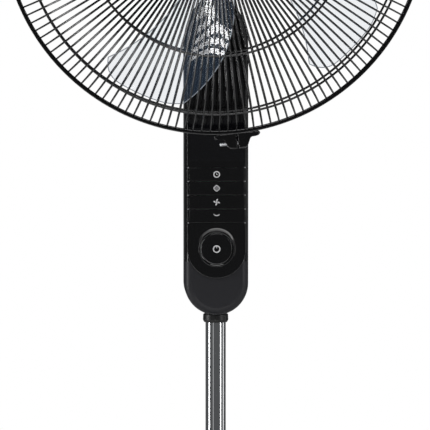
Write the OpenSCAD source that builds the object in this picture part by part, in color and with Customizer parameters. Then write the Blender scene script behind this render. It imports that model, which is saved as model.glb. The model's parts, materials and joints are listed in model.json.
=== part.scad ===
// Pedestal fan with a slim control column, an oscillating head and a two-part wire guard.
// The origin is on the floor under the pole. +Z is up, the fan blows towards -Y, +X is on its right.

/* [Stand] */
// Radius of the round base
base_r = 200; // [180:1:215]
// Height of the base's domed top above the floor
base_top = 38; // [34:1:45]
// Outer radius of the lower tube
lower_r = 14; // [13.5:0.5:16]
// Height of the lower tube's top end
lower_top = 420; // [360:5:430]
// Outer radius of the chrome upper tube
upper_r = 11; // [9:0.5:11]

/* [Column] */
// Width of the control column
column_w = 69; // [66:1:74]
// Depth of the control column
column_d = 52; // [50:1:56]
// Height of the column's lowest point
column_bottom = 676; // [660:1:690]
// Height of the column's highest point
column_top = 1020; // [1018:1:1022]
// Height of the rounded lower end
bottom_round = 37; // [36:1:48]
// Height of the rounded upper end
top_round = 54; // [48:1:58]
// Thickness of the column's shells
shell_t = 2.5; // [2:0.1:3]
// Width of the glossy front panel
fascia_w = 63.4; // [60:0.2:64]
// Height of the power button's centre
power_z = 748.3; // [744:0.1:752]
// Height of the lowest seam between the wide buttons
buttons_z = 776.6; // [775:0.1:780]
// Distance from one wide button to the next
button_pitch = 14.93; // [14:0.01:15]

/* [Head] */
// Height of the tilt axis
tilt_z = 1000; // [998:1:1002]
// Height of the fan's hub
hub_z = 1100; // [1096:1:1106]
// Sideways offset of the fan's axis from the pole's axis
head_x = -5; // [-8:1:8]
// Outer radius of the guard
guard_r = 225; // [220:1:235]
// Wires in each half of the guard
wires_n = 75; // [30:1:150]
// Diameter of a guard wire
wire_d = 1.8; // [1.6:0.1:2]
// Radius at the blades' tips
tip_r = 198; // [185:1:200]
// Number of blades
blades_n = 5; // [3:1:6]

/* [Hidden] */
$fn = 64;
EPS = 0.01;
FIT = 0.05; // clearance of a seat, on the radius
RUN = 0.08; // clearance of a running fit, on the radius
GAP = 0.3; // least space between pieces that move apart

// Base
foot_h = 5;
foot_r = 190;
foot_w = 14;
plate_t = 4;
cover_t = 3;
dome_sag = 26; // fall of the base's top from its centre to its edge
skirt_gap = 1.5;
flange_r = 40;
flange_t = 4;
socket_r = 18;
socket_top = 60;
screw_circle = 30;
base_screws_n = 4;
base_screw_r = 2.4;
tube_t = 1.5;

// Tubes
upper_bottom = 250;
upper_tube_top = 762;
upper_t = 1.2;
bush_bottom = 370;
bush_flange = 3;
collar_bottom = 396;
collar_top = 440;
collar_r = 22;

// Column levels and faces
half_w = column_w / 2;
seat_bore = 12.2; // half the width of the collar's part inside the column
front_y = -column_d / 2;
rear_y = column_d / 2;
bottom_c = column_bottom + bottom_round;
top_c = column_top - top_round;
fascia_t = 2;
fascia_y = front_y - fascia_t;
fascia_r = fascia_w / 2;
fascia_top = 1000;
button_w = 60;
button_n = 4;
button_h = button_pitch - 2 * GAP;
button_y = fascia_y - 0.2;
power_r = 17.2;
ring_r = 19.7;
dish_r = 24.2;
window_z = 866;
window_w = 58;
window_h = 44;
window_t = 1.2;
opening_w = 48; // the clear part of the window
opening_h = 36;
board_y = -16;
board_t = 1.6;
board_w = 44;
board_bottom = 735;
board_top = 900;
switch_h = 3.5;
switch_body = 2.6;
stem_r = 2;
stem_gap = 1.4; // between a button's stem and its switch
cap_t = 1.6;
cap_depth = 4; // of the buttons behind the front shell's face
boss_x = 28;
boss_r = 3.5;
boss_zs = [764, 848, 955];
shell_screw_r = 1.3;
shell_screw_y = 6; // where the screws' heads rest
post_x = 18;
post_r = 3;
post_zs = [770, 893];
board_screw_r = 1.2;
clamp_z = 695;
clamp_h = 62;
clamp_w = 34;
wing_z = 704;
wing_screw_r = 3;
gland_z = 790;
gland_r = 7;
gland_bore = 3.6;

// Neck
slot_w = 26;
slot_front = -17;
slot_bottom = 966;
cheek_t = 4;
cheek_r = 12;
bolt_r = 4;
neck_plate_z = 1030;
neck_plate_t = 4;
neck_r = 36;
pin_r = 6;
gear_teeth = 36;
pinion_teeth = 12;
pinion_shaft_r = 2.5;
gear_h = 5;
gear_z = neck_plate_z + neck_plate_t + 1;
pinion_y = (gear_teeth + pinion_teeth) / 2; // module 1
head_z = 1044;
head_t = 4;
head_r = neck_r + 8;
head_boss_r = 10;
bracket_w = 48;
pin_l = 16; // of the swing pin above the head's floor

// Motor
motor_r = 60;
shield_r = 57.4;
seat_r = 26;
seat_l = 9;
shield_y = -44;
shield_t = 6;
stator_r = 38;
rotor_r = 20;
stator_y = -20;
stack_l = 30;
shaft_r = 4;
bearing_r = 11;
bearing_w = 7;
bolt_circle = 42;
motor_bolt_r = 2;
rear_shield_y = stator_y + stack_l + 14;
rear_shield_t = 4;
motor_back = 92;
swing_motor_top = 1059;
guard_boss_r = 18;

// Guard, in the plane of its profile: radius outwards, depth from the rim plane
rim_y = -95;
plate_r = 62;
front_depth = 64;
front_flat_r = 138;
rear_depth = 39;
rear_flat_r = 154;
rear_hub_r = 52;
ring_rs = [140, 202];
ring_wire = 2.4;
bend_steps = 6; // straight runs that a wire's bend is made of
rim_wire = 3;
rim_gap = 2;
band_w = 10;
band_t = 1.5;
lip_w = 2.6;
rim_r = guard_r - band_t - rim_wire / 2;
lug_angle = 6; // from the guard's lowest point towards +X
lug_r = 241;
screw_r = guard_r + 10; // distance of the clamp screw from the guard's axis
screw_t = 2; // half the screw's thickness
screw_head_r = 3.5;
screw_seat = 8; // where the lugs' pockets for the head and the nut begin
clamp_nut_r = 3.8;
clamp_nut_h = 3.2;

// Blades
blade_y = -90;
hub_r = 40;
hub_l = 32;
blade_t = 1.8;
root_r = hub_r - 1.4; // inside the hub's wall

// ---------- Shapes that repeat ----------

// Turns local +Z into +Y, about the line at this height, starting from this y
module along_y(y = 0, z = 0, x = 0) {
    translate([x, y, z]) rotate([-90, 0, 0]) children();
}

module rod_y(r, y0, y1, z = 0, x = 0) {
    along_y(y0, z, x) cylinder(r = r, h = y1 - y0);
}

module tube_y(r_out, r_in, y0, y1, z = 0, x = 0) {
    difference() {
        rod_y(r_out, y0, y1, z, x);
        rod_y(r_in, y0 - 1, y1 + 1, z, x);
    }
}

module tube(r_out, r_in, z0, z1) {
    translate([0, 0, z0]) difference() {
        cylinder(r = r_out, h = z1 - z0);
        translate([0, 0, -1]) cylinder(r = r_in, h = z1 - z0 + 2);
    }
}

module block(x0, x1, y0, y1, z0, z1) {
    translate([x0, y0, z0]) cube([x1 - x0, y1 - y0, z1 - z0]);
}

// A plate in the X-Z plane between two y values
module plate_y(y0, y1) {
    translate([0, y1, 0]) rotate([90, 0, 0]) linear_extrude(y1 - y0) children();
}

// Moves what turns with the fan's axis to its place beside the pole's axis
module at_head() {
    translate([head_x, 0, 0]) children();
}

// ---------- Base ----------

module foot_ring() {
    color("#1c1c1e") tube(foot_r, foot_r - foot_w, 0, foot_h);
}

module at_base_screws() {
    for (i = [0 : base_screws_n - 1]) rotate((i + 0.5) * 360 / base_screws_n)
        translate([screw_circle, 0, 0]) children();
}

module base_plate() {
    color("#3a3a3d") translate([0, 0, foot_h]) difference() {
        cylinder(r = base_r - cover_t - skirt_gap, h = plate_t, $fn = 128);
        at_base_screws() translate([0, 0, -1]) cylinder(r = base_screw_r + 0.2, h = plate_t + 2);
    }
}

// Half profile of the dome, at a distance inwards from its outer surface
module dome_half(inset) {
    sphere_r = (base_r * base_r + dome_sag * dome_sag) / (2 * dome_sag);
    intersection() {
        square([base_r - inset, base_top]);
        translate([0, base_top - sphere_r]) circle(sphere_r - inset, $fn = 256);
    }
}

module base_cover() {
    color("#202023") rotate_extrude($fn = 128) difference() {
        dome_half(0);
        dome_half(cover_t);
        square([base_r - cover_t, foot_h + plate_t]);
        square([base_r + 1, foot_h]);
        square([socket_r + 0.5, base_top + 1]);
    }
}

module tube_socket() {
    flange_z = foot_h + plate_t;
    color("#8c8e92") difference() {
        union() {
            translate([0, 0, flange_z]) cylinder(r = flange_r, h = flange_t);
            translate([0, 0, flange_z + flange_t - EPS])
                cylinder(r = socket_r, h = socket_top - flange_z - flange_t);
        }
        translate([0, 0, flange_z + flange_t]) cylinder(r = lower_r + FIT, h = socket_top);
        at_base_screws() cylinder(r = base_screw_r, h = socket_top);
    }
}

module base_screws() {
    head_h = 3.4;
    color("#b9bbbf") at_base_screws() {
        translate([0, 0, foot_h - head_h]) cylinder(r = 4.5, h = head_h, $fn = 6);
        translate([0, 0, foot_h - EPS]) cylinder(r = base_screw_r, h = plate_t + flange_t);
    }
}

module base_collar() {
    foot = 34;
    neck = 26;
    top = base_top + 30;
    color("#202023") rotate_extrude() difference() {
        polygon([[socket_r + FIT, base_top - 1], [foot, base_top - 1], [foot, base_top + 2], [neck, top],
            [lower_r + FIT, top], [lower_r + FIT, socket_top + FIT], [socket_r + FIT, socket_top + FIT]]);
        translate([0, -1]) square([base_r, base_top + 1]);
    }
}

module lower_tube() {
    color("#c9ccd1") tube(lower_r, lower_r - tube_t, foot_h + plate_t + flange_t, lower_top);
}

module height_bush() {
    color("#d8d8d4") {
        tube(lower_r - tube_t - FIT, upper_r + RUN, bush_bottom, lower_top + EPS);
        tube(lower_r, upper_r + RUN, lower_top, lower_top + bush_flange);
    }
}

module height_collar() {
    inner_top = lower_top + bush_flange + GAP;
    throat_r = upper_r + 1.6;
    chamfer_h = 6;
    color("#1d1d20") rotate_extrude() polygon([
        [lower_r + RUN, collar_bottom], [collar_r, collar_bottom], [collar_r, collar_top - chamfer_h],
        [collar_r - 4, collar_top], [throat_r, collar_top], [throat_r, inner_top], [lower_r + RUN, inner_top]]);
}

// ---------- Column ----------

// Half of an ellipse's outline: its upper half where up is 1, its lower half where up is -1
function half_oval(w, h, z, up) = [for (a = [0 : 6 : 180]) [up * w * cos(a), z + up * h * sin(a)]];

module column_outline(inset = 0) {
    polygon(concat(
        half_oval(half_w - inset, top_round - inset, top_c, 1),
        half_oval(half_w - inset, bottom_round - inset, bottom_c, -1)));
}

// Space for the neck, open at the back and the top
module neck_slot(extra = 0) {
    block(-slot_w / 2 - extra, slot_w / 2 + extra, slot_front - extra, rear_y + 1,
        slot_bottom - extra, column_top + 1);
}

module at_bosses() {
    for (side = [-1, 1], z = boss_zs) translate([side * boss_x, 0, z]) children();
}

module at_board_posts() {
    for (side = [-1, 1], z = post_zs) translate([side * post_x, 0, z]) children();
}

module upper_tube() {
    color("#dfe2e6") tube(upper_r, upper_r - upper_t, upper_bottom, upper_tube_top);
}

module pole_collar() {
    color("#161618") rotate_extrude() polygon([
        [upper_r + FIT, column_bottom - 9], [seat_bore, column_bottom - 9], [13.8, column_bottom - 7],
        [13.3, column_bottom - EPS], [seat_bore, column_bottom],
        [seat_bore, column_bottom + 12], [upper_r + FIT, column_bottom + 12]]);
}

module pole_clamp() {
    color("#2c2c30") difference() {
        block(-clamp_w / 2, clamp_w / 2, -13, rear_y - shell_t, clamp_z, clamp_z + clamp_h);
        translate([0, 0, clamp_z - 1]) cylinder(r = upper_r + FIT, h = clamp_h + 2);
        rod_y(wing_screw_r + FIT, 0, rear_y, wing_z);
    }
}

module rear_shell() {
    color("#37373d") difference() {
        union() {
            difference() {
                plate_y(0, rear_y) column_outline();
                plate_y(-1, rear_y - shell_t) column_outline(shell_t);
            }
            at_bosses() rod_y(boss_r, 0, rear_y - 1);
            intersection() {
                plate_y(0, rear_y) column_outline();
                neck_slot(shell_t);
            }
        }
        neck_slot();
        at_bosses() rod_y(shell_screw_r + 0.3, -1, rear_y + 1);
        at_bosses() rod_y(2.9, shell_screw_y, rear_y + 1);
        rod_y(wing_screw_r + 0.6, 0, rear_y + 1, wing_z);
        rod_y(gland_r + FIT, 0, rear_y + 1, gland_z);
        translate([0, 0, column_bottom - 1]) cylinder(r = seat_bore + FIT, h = 20);
    }
}

module front_shell() {
    color("#37373d") difference() {
        union() {
            difference() {
                plate_y(front_y, 0) column_outline();
                plate_y(front_y + shell_t, 1) column_outline(shell_t);
            }
            at_bosses() rod_y(boss_r, front_y + 1, 0);
            at_board_posts() rod_y(post_r, front_y + 1, board_y);
            intersection() {
                plate_y(front_y, 0) column_outline();
                neck_slot(shell_t);
            }
        }
        neck_slot();
        at_bosses() rod_y(shell_screw_r, -14, 1);
        at_board_posts() rod_y(board_screw_r, board_y - 6, board_y + 1);
        block(-button_w / 2, button_w / 2, front_y - 1, front_y + shell_t + 1,
            buttons_z, buttons_z + button_n * button_pitch);
        rod_y(power_r + GAP, front_y - 1, front_y + shell_t + 1, power_z);
        window_opening(front_y - 1, front_y + shell_t + 1);
        translate([0, 0, column_bottom - 1]) cylinder(r = seat_bore + FIT, h = 20);
    }
}

module window_opening(y0, y1) {
    block(-opening_w / 2, opening_w / 2, y0, y1, window_z - opening_h / 2, window_z + opening_h / 2);
}

module fascia_outline() {
    oval_h = 45;
    translate([0, power_z]) circle(fascia_r);
    translate([-fascia_r, power_z]) square([fascia_w, fascia_top - oval_h - power_z]);
    polygon(half_oval(fascia_r, oval_h, fascia_top - oval_h, 1));
}

module fascia() {
    color("#050506") difference() {
        plate_y(fascia_y, front_y) fascia_outline();
        block(-button_w / 2 - GAP, button_w / 2 + GAP, fascia_y - 1, front_y + 1,
            buttons_z - GAP, buttons_z + button_n * button_pitch + GAP);
        rod_y(ring_r, fascia_y - 1, front_y + 1, power_z);
        along_y(fascia_y - EPS, power_z) cylinder(r1 = dish_r, r2 = ring_r, h = 1.2);
        block(-window_w / 2, window_w / 2, fascia_y - 1, fascia_y + window_t,
            window_z - window_h / 2, window_z + window_h / 2);
        window_opening(fascia_y - 1, front_y + 1);
    }
}

module display_window() {
    color("#0a0a0e") block(-window_w / 2 + FIT, window_w / 2 - FIT, fascia_y, fascia_y + window_t,
        window_z - window_h / 2 + FIT, window_z + window_h / 2 - FIT);
}

module display_module() {
    color("#15151a") block(-20, 20, board_y - 7, board_y, window_z - 14, window_z + 14);
}

module control_board() {
    color("#1f5a3a") difference() {
        block(-board_w / 2, board_w / 2, board_y, board_y + board_t, board_bottom, board_top);
        at_board_posts() rod_y(board_screw_r + 0.3, board_y - 1, board_y + board_t + 1);
    }
}

function button_mid(i) = buttons_z + (i + 0.5) * button_pitch;

module tact_switches() {
    color("#26262a") for (z = concat([power_z], [for (i = [0 : button_n - 1]) button_mid(i)])) {
        block(-3, 3, board_y - switch_body, board_y, z - 3, z + 3);
        rod_y(1.7, board_y - switch_h, board_y - switch_body + EPS, z);
    }
}

module ir_receiver() {
    eye_z = 891.5;
    color("#18181c") {
        block(-3.5, 3.5, board_y - 3, board_y, eye_z - 3.5, eye_z + 3.5);
        along_y(board_y - 5.5, eye_z) intersection() {
            translate([0, 0, 2.5]) sphere(2.6);
            translate([-3, -3, 0]) cube([6, 6, 2.6]);
        }
    }
}

module board_screws() {
    color("#c0c2c6") at_board_posts() {
        rod_y(2.4, board_y + board_t, board_y + board_t + 1.8);
        rod_y(board_screw_r, board_y - 5, board_y + board_t + EPS);
    }
}

module shell_screws() {
    color("#9a9ca0") at_bosses() {
        rod_y(2.7, shell_screw_y, shell_screw_y + 2.4);
        rod_y(shell_screw_r, -12, shell_screw_y + EPS);
    }
}

module cord_gland() {
    color("#141416") difference() {
        union() {
            rod_y(gland_r, rear_y - 10, rear_y + EPS, gland_z);
            along_y(rear_y, gland_z) cylinder(r1 = 9, r2 = 8, h = 2.5);
        }
        rod_y(gland_bore, rear_y - 11, rear_y + 4, gland_z);
    }
}

module power_ring() {
    color("#3c3e44") tube_y(ring_r - FIT, power_r + GAP, fascia_y + 0.4, front_y, power_z);
}

// A wide button with its stem behind it
module wide_button(i) {
    z = button_mid(i);
    color("#08080a") {
        difference() {
            block(-button_w / 2 + GAP, button_w / 2 - GAP, button_y, front_y + cap_depth,
                z - button_h / 2, z + button_h / 2);
            block(-button_w / 2 + 2, button_w / 2 - 2, button_y + cap_t, front_y + cap_depth + 1,
                z - button_h / 2 + 1.5, z + button_h / 2 - 1.5);
        }
        rod_y(stem_r, button_y + 1, board_y - switch_h - stem_gap, z);
    }
}

module timer_button() wide_button(3);
module mode_button() wide_button(2);
module speed_button() wide_button(1);
module night_button() wide_button(0);

module power_button() {
    face_y = fascia_y + 0.2;
    color("#0b0b0d") {
        difference() {
            rod_y(power_r, face_y, front_y + cap_depth, power_z);
            rod_y(power_r - cap_t, face_y + cap_t, front_y + cap_depth + 1, power_z);
        }
        rod_y(stem_r, face_y + 0.8, board_y - switch_h - stem_gap, power_z);
    }
}

module wing_screw() {
    wing_turn = 48;
    wing_l = 24;
    wing_r = 4.5;
    color("#1a1a1c") {
        rod_y(wing_screw_r, upper_r + GAP + 0.2, rear_y + 4, wing_z);
        rod_y(7, rear_y + 1, rear_y + 11, wing_z);
        translate([0, rear_y + 6, wing_z]) rotate([0, wing_turn, 0]) {
            block(-wing_l, wing_l, -2, 2, -wing_r, wing_r);
            for (side = [-1, 1]) rod_y(wing_r, -2, 2, 0, side * wing_l);
        }
    }
}

// ---------- Neck ----------

module tilt_yoke() {
    color("#6f7176") difference() {
        union() {
            for (side = [-1, 1]) translate([side * (slot_w / 2 - cheek_t / 2), 0, 0]) {
                block(-cheek_t / 2, cheek_t / 2, -cheek_r, cheek_r, slot_bottom, tilt_z);
                translate([-cheek_t / 2, 0, tilt_z]) rotate([0, 90, 0]) cylinder(r = cheek_r, h = cheek_t);
            }
            block(-slot_w / 2, slot_w / 2, -cheek_r, cheek_r, slot_bottom, slot_bottom + cheek_t);
        }
        translate([-slot_w, 0, tilt_z]) rotate([0, 90, 0]) cylinder(r = bolt_r + FIT, h = slot_w * 2);
    }
}

module tilt_bolt() {
    side = slot_w / 2 - 0.1;
    color("#a4a6aa") translate([0, 0, tilt_z]) rotate([0, 90, 0]) translate([0, 0, -side])
        cylinder(r = bolt_r, h = 2 * side);
}

module neck_bracket() {
    lug_w = slot_w / 2 - cheek_t - GAP;
    color("#2a2a2e") difference() {
        union() {
            translate([-lug_w, 0, tilt_z]) rotate([0, 90, 0]) cylinder(r = cheek_r - 1, h = 2 * lug_w);
            block(-lug_w, lug_w, -9, 9, tilt_z, neck_plate_z + 1);
            translate([0, 0, neck_plate_z]) cylinder(r = neck_r, h = neck_plate_t);
            translate([0, 0, neck_plate_z]) cylinder(r = pin_r, h = head_z - neck_plate_z + pin_l);
        }
        translate([-slot_w, 0, tilt_z]) rotate([0, 90, 0]) cylinder(r = bolt_r + RUN, h = slot_w * 2);
    }
}

// Flat gear of module 1 with straight-sided teeth
module gear_outline(teeth, r) {
    circle(r - 1.2);
    for (i = [0 : teeth - 1]) rotate(i * 360 / teeth)
        polygon([[r - 1.6, -0.95], [r, -0.62], [r + 0.8, -0.32], [r + 0.8, 0.32], [r, 0.62], [r - 1.6, 0.95]]);
}

module swing_gear() {
    color("#e4e1d6") translate([0, 0, gear_z]) difference() {
        linear_extrude(gear_h) gear_outline(gear_teeth, gear_teeth / 2);
        translate([0, 0, -1]) cylinder(r = pin_r + FIT, h = gear_h + 2);
    }
    color("#e4e1d6") tube(12, pin_r + FIT, neck_plate_z + neck_plate_t, gear_z + EPS);
}

// Clip that keeps the head on the swing pin
module swing_clip() {
    z = head_z + pin_l - 2 + GAP;
    color("#b9bbbf") tube(9, pin_r + FIT, z, z + 1.2);
}

module neck_cover() {
    color("#202024") tube(neck_r, neck_r - 1.6, neck_plate_z + neck_plate_t, head_z - 1);
}

module pinion() {
    color("#f0ede2") translate([0, pinion_y, gear_z]) {
        rotate(90 + 180 / pinion_teeth) linear_extrude(gear_h) gear_outline(pinion_teeth, pinion_teeth / 2);
        cylinder(r = pinion_shaft_r, h = 12);
    }
}

// ---------- Head ----------

module motor_bracket() {
    color("#606268") difference() {
        union() {
            translate([0, 0, head_z]) cylinder(r = head_r, h = head_t);
            translate([0, 0, head_z]) cylinder(r = head_boss_r, h = pin_l - 2);
            at_head() block(-bracket_w / 2, bracket_w / 2, shield_y + shield_t, shield_y + shield_t + head_t,
                head_z, hub_z - 22);
            at_head() for (side = [-1, 1]) translate([side * (bracket_w - head_t) / 2, 0, 0])
                block(-head_t / 2, head_t / 2, shield_y + shield_t, -10, head_z, head_z + 20);
        }
        translate([0, 0, head_z - 1]) cylinder(r = pin_r + RUN, h = 30);
        block(-motor_r, motor_r, -motor_r, shield_y, head_z - 1, head_z + head_t + 1);
        translate([0, pinion_y, head_z - 1]) cylinder(r = pinion_shaft_r + RUN, h = 10);
        rod_y(bearing_r + 4, shield_y, 0, hub_z, head_x);
    }
}

module front_shield() {
    color("#505257") at_head() difference() {
        union() {
            rod_y(shield_r, shield_y, shield_y + shield_t, hub_z);
            rod_y(guard_boss_r, shield_y - 20, shield_y + 1, hub_z);
            rod_y(seat_r, shield_y - seat_l, shield_y + 1, hub_z);
            rod_y(bearing_r + 3, shield_y, shield_y + 12, hub_z);
        }
        rod_y(shaft_r + 1, shield_y - 30, 0, hub_z);
        rod_y(bearing_r + FIT, shield_y + 4, shield_y + 13, hub_z);
        at_motor_bolts() rod_y(motor_bolt_r + 0.1, shield_y - 1, shield_y + 20);
        block(-motor_r, motor_r, shield_y - 1, shield_y + shield_t + 1, head_z - 20, head_z + head_t);
    }
}

module at_motor_bolts() {
    for (a = [45 : 90 : 315]) translate([bolt_circle * cos(a), 0, hub_z + bolt_circle * sin(a)]) children();
}

module rear_shield() {
    y = rear_shield_y;
    color("#505257") at_head() difference() {
        union() {
            rod_y(46, y, y + rear_shield_t, hub_z);
            rod_y(bearing_r + 3, y - 4, y + rear_shield_t, hub_z);
        }
        rod_y(bearing_r + FIT, y - 5, y + 3, hub_z);
        rod_y(shaft_r + 1, y - 6, y + 6, hub_z);
        at_motor_bolts() rod_y(motor_bolt_r + 0.1, y - 1, y + 20);
        block(-motor_r, motor_r, y - 5, y + 5, head_z - 20, swing_motor_top + GAP);
    }
}

module motor_bolts() {
    y = rear_shield_y + rear_shield_t;
    color("#b4b6ba") at_head() at_motor_bolts() {
        rod_y(motor_bolt_r, shield_y, y + EPS);
        rod_y(3.6, y, y + 3);
    }
}

// Half profile of the motor cover: radius and distance behind its front edge
module cover_half(inset) {
    length = motor_back - shield_y - inset;
    corner = 34;
    intersection() {
        square([motor_r - inset, length]);
        union() {
            square([motor_r + 1, length - corner + inset]);
            square([motor_r - corner, length]);
            translate([motor_r - corner, length - corner + inset]) circle(corner - inset);
        }
    }
}

module motor_cover() {
    cover_wall = 2.5;
    color("#1b1b1e") at_head() difference() {
        along_y(shield_y, hub_z) rotate_extrude($fn = 96) difference() {
            cover_half(0);
            cover_half(cover_wall);
        }
        block(-motor_r, motor_r, shield_y - 1, motor_back, head_z - 20, head_z);
        translate([-head_x, 0, head_z - 1]) cylinder(r = head_r + FIT, h = head_t + 1 + FIT);
        block(-bracket_w / 2 - FIT, bracket_w / 2 + FIT, shield_y - 1, -8, head_z - 1, head_z + head_t + FIT);
        for (i = [-3 : 3]) translate([i * 12, motor_back, hub_z]) cube([5, 20, 50 - 6 * abs(i)], center = true);
    }
}

module stator_core() {
    color("#8d8f93") at_head() difference() {
        rod_y(stator_r, stator_y, stator_y + stack_l, hub_z);
        rod_y(rotor_r + 0.6, stator_y - 1, stator_y + stack_l + 1, hub_z);
    }
}

module windings() {
    color("#b4622d") at_head() for (y = [stator_y - 9, stator_y + stack_l])
        tube_y(stator_r - 5, rotor_r + 3, y, y + 9, hub_z);
}

module bearing(y) {
    color("#d0d2d6") at_head() tube_y(bearing_r, shaft_r + RUN, y, y + bearing_w, hub_z);
}

module front_bearing() bearing(shield_y + 4);
module rear_bearing() bearing(stator_y + stack_l + 10);

module capacitor() {
    y = rear_shield_y + rear_shield_t;
    color("#e8e6e0") at_head() block(-18, 18, y, y + 16, hub_z - 12, hub_z + 12);
}

module swing_motor() {
    color("#c7c9cd") translate([0, pinion_y, head_z + head_t]) difference() {
        cylinder(r = 19, h = swing_motor_top - head_z - head_t);
        translate([0, 0, -1]) cylinder(r = pinion_shaft_r + GAP, h = 9);
        translate([0, -pinion_y, -1]) cylinder(r = head_boss_r + GAP, h = 20);
    }
}

// ---------- Guard ----------

// Radius of the bend that brings the wires from this depth down to the rim plane
function bend_radius(depth, flat_r) = (pow(rim_r - flat_r, 2) + pow(depth, 2)) / (2 * depth);

// Depth of the wires' middle line at a radius, from the rim plane
function arc_depth(r, depth, flat_r) =
    let (bend_r = bend_radius(depth, flat_r))
    r <= flat_r ? depth : depth - bend_r + sqrt(pow(bend_r, 2) - pow(r - flat_r, 2));

// One wire, lying along local +X, with its depth along local +Z. Its flat run bends round to the rim
module guard_wire(depth, flat_r, inner_r) {
    wire_r = wire_d / 2;
    bend_r = bend_radius(depth, flat_r);
    bend = asin((rim_r - flat_r) / bend_r);
    outer = [for (k = [0 : bend_steps]) let (a = bend * k / bend_steps)
        [flat_r + (bend_r + wire_r) * sin(a), depth - bend_r + (bend_r + wire_r) * cos(a)]];
    inner = [for (k = [bend_steps : -1 : 0]) let (a = bend * k / bend_steps)
        [flat_r + (bend_r - wire_r) * sin(a), depth - bend_r + (bend_r - wire_r) * cos(a)]];
    rotate([90, 0, 0]) linear_extrude(wire_d, center = true)
        polygon(concat([[inner_r, depth - wire_r], [inner_r, depth + wire_r]], outer, inner));
}

module guard_hoop(r, depth, d) {
    translate([0, 0, depth - d / 2]) difference() {
        cylinder(r = r + d / 2, h = d, $fn = 128);
        translate([0, 0, -1]) cylinder(r = r - d / 2, h = d + 2, $fn = 128);
    }
}

// One half of the guard, with its depth along local +Z
module guard_half(depth, flat_r, inner_r) {
    for (i = [0 : wires_n - 1]) rotate((i + 0.5) * 360 / wires_n) guard_wire(depth, flat_r, inner_r);
    guard_hoop(inner_r, depth, ring_wire);
    for (r = ring_rs) guard_hoop(r, arc_depth(r, depth, flat_r) - wire_d / 2, ring_wire);
    guard_hoop(rim_r, 0, rim_wire);
}

module rear_guard() {
    color("#101012") at_head() along_y(rim_y + rim_gap, hub_z) {
        guard_half(rear_depth, rear_flat_r, rear_hub_r);
        translate([0, 0, rear_depth - 1]) difference() {
            cylinder(r = rear_hub_r, h = 2);
            translate([0, 0, -1]) cylinder(r = guard_boss_r + FIT, h = 4);
        }
    }
}

module guard_nut() {
    y = rim_y + rim_gap + rear_depth - 1;
    color("#222226") at_head() difference() {
        union() {
            rod_y(34, y - 3, y, hub_z);
            rod_y(24, y - 7, y - 3 + EPS, hub_z);
            for (i = [0 : 5]) translate([0, 0, hub_z]) rotate([0, i * 60, 0]) block(23, 33, y - 6, y - 2, -2, 2);
        }
        rod_y(guard_boss_r + FIT, y - 8, y + 1, hub_z);
    }
}

module front_guard() {
    color("#101012") at_head() translate([0, rim_y - rim_gap, hub_z]) rotate([90, 0, 0])
        guard_half(front_depth, front_flat_r, plate_r);
}

module front_cap() {
    color("#17171a") at_head() translate([0, rim_y - rim_gap - front_depth, hub_z]) rotate([90, 0, 0]) {
        translate([0, 0, -1]) cylinder(r1 = plate_r - 2, r2 = plate_r - 4, h = 4);
    }
}

// Half profile of the band that clamps the two rims together
module band_half() {
    difference() {
        translate([guard_r - lip_w, -band_w / 2]) square([lip_w, band_w]);
        translate([guard_r - lip_w - 1, -band_w / 2 + band_t])
            square([lip_w + 1 - band_t, band_w - 2 * band_t]);
    }
}

module at_clamp() {
    at_head() translate([0, rim_y, hub_z]) rotate([0, -lug_angle, 0]) children();
}

// Along the clamp screw's axis, starting from this distance past the gap
module along_screw(x) {
    translate([x, 0, -screw_r]) rotate([0, 90, 0]) children();
}

module guard_band() {
    gap_angle = 0.2;
    gap_half = 0.4;
    color("#131316") at_clamp() {
        rotate([90, 90 + gap_angle, 0]) rotate_extrude(angle = 360 - 2 * gap_angle, $fn = 128) band_half();
        for (side = [-1, 1]) difference() {
            plate_y(-band_w / 2, band_w / 2) polygon([
                [side * gap_half, -guard_r + 1.2], [side * 24, -guard_r + 0.6], [side * 23, -guard_r - 3.5],
                [side * 12.5, -guard_r - 4], [side * 10.4, -lug_r], [side * gap_half, -lug_r]]);
            along_screw(-30) cylinder(r = screw_t + RUN, h = 60);
            along_screw(screw_seat) cylinder(r = screw_head_r + GAP, h = 20);
            along_screw(-screw_seat - 20) cylinder(r = clamp_nut_r + FIT, h = 20, $fn = 6);
        }
    }
}

module clamp_nut() {
    color("#b4b6ba") at_clamp() along_screw(-screw_seat - clamp_nut_h) difference() {
        cylinder(r = clamp_nut_r, h = clamp_nut_h - FIT, $fn = 6);
        translate([0, 0, -1]) cylinder(r = screw_t + RUN, h = clamp_nut_h + 2);
    }
}

module guard_screw() {
    end_x = -19;
    color("#c8cace") at_clamp() {
        along_screw(end_x) cylinder(r = screw_t, h = screw_seat + 1 - end_x);
        along_screw(screw_seat + GAP) cylinder(r = screw_head_r, h = 2.6);
    }
}

// ---------- Rotor ----------

module shaft() {
    color("#d4d6da") at_head() rod_y(shaft_r, blade_y - hub_l / 2 - 12, stator_y + stack_l + 17, hub_z);
}

module rotor_core() {
    color("#7e8085") at_head() tube_y(rotor_r, shaft_r + FIT, stator_y, stator_y + stack_l, hub_z);
}

// Angles of a blade's two edges from straight down, towards +X, in degrees
function lead_angle(r) = -19 - 19 * pow(max(r - hub_r, 0) / 142, 1.3);
function trail_angle(r) = 17 - 27.5 * pow(max(r - hub_r, 0) / 156, 1.7);

// Outer end of the blade at a share of its width, 0 at the leading edge
function blade_end(s) = tip_r - 16 * pow(max(0.35 - s, 0) / 0.35, 2) - 4 * pow(max(s - 0.8, 0) / 0.2, 2);

function blade_point(t, s, side) =
    let (r = root_r + t * (blade_end(s) - root_r),
        a = lead_angle(r) + s * (trail_angle(r) - lead_angle(r)),
        depth = 28 + 8 * (r - hub_r) / (tip_r - hub_r),
        camber = 4 * sin(180 * s),
        thick = blade_t * (0.3 + 0.7 * sin(180 * (0.08 + 0.84 * s))) / 2)
    [r * sin(a), blade_y + depth * (0.5 - s) + camber + side * thick, -r * cos(a)];

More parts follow.
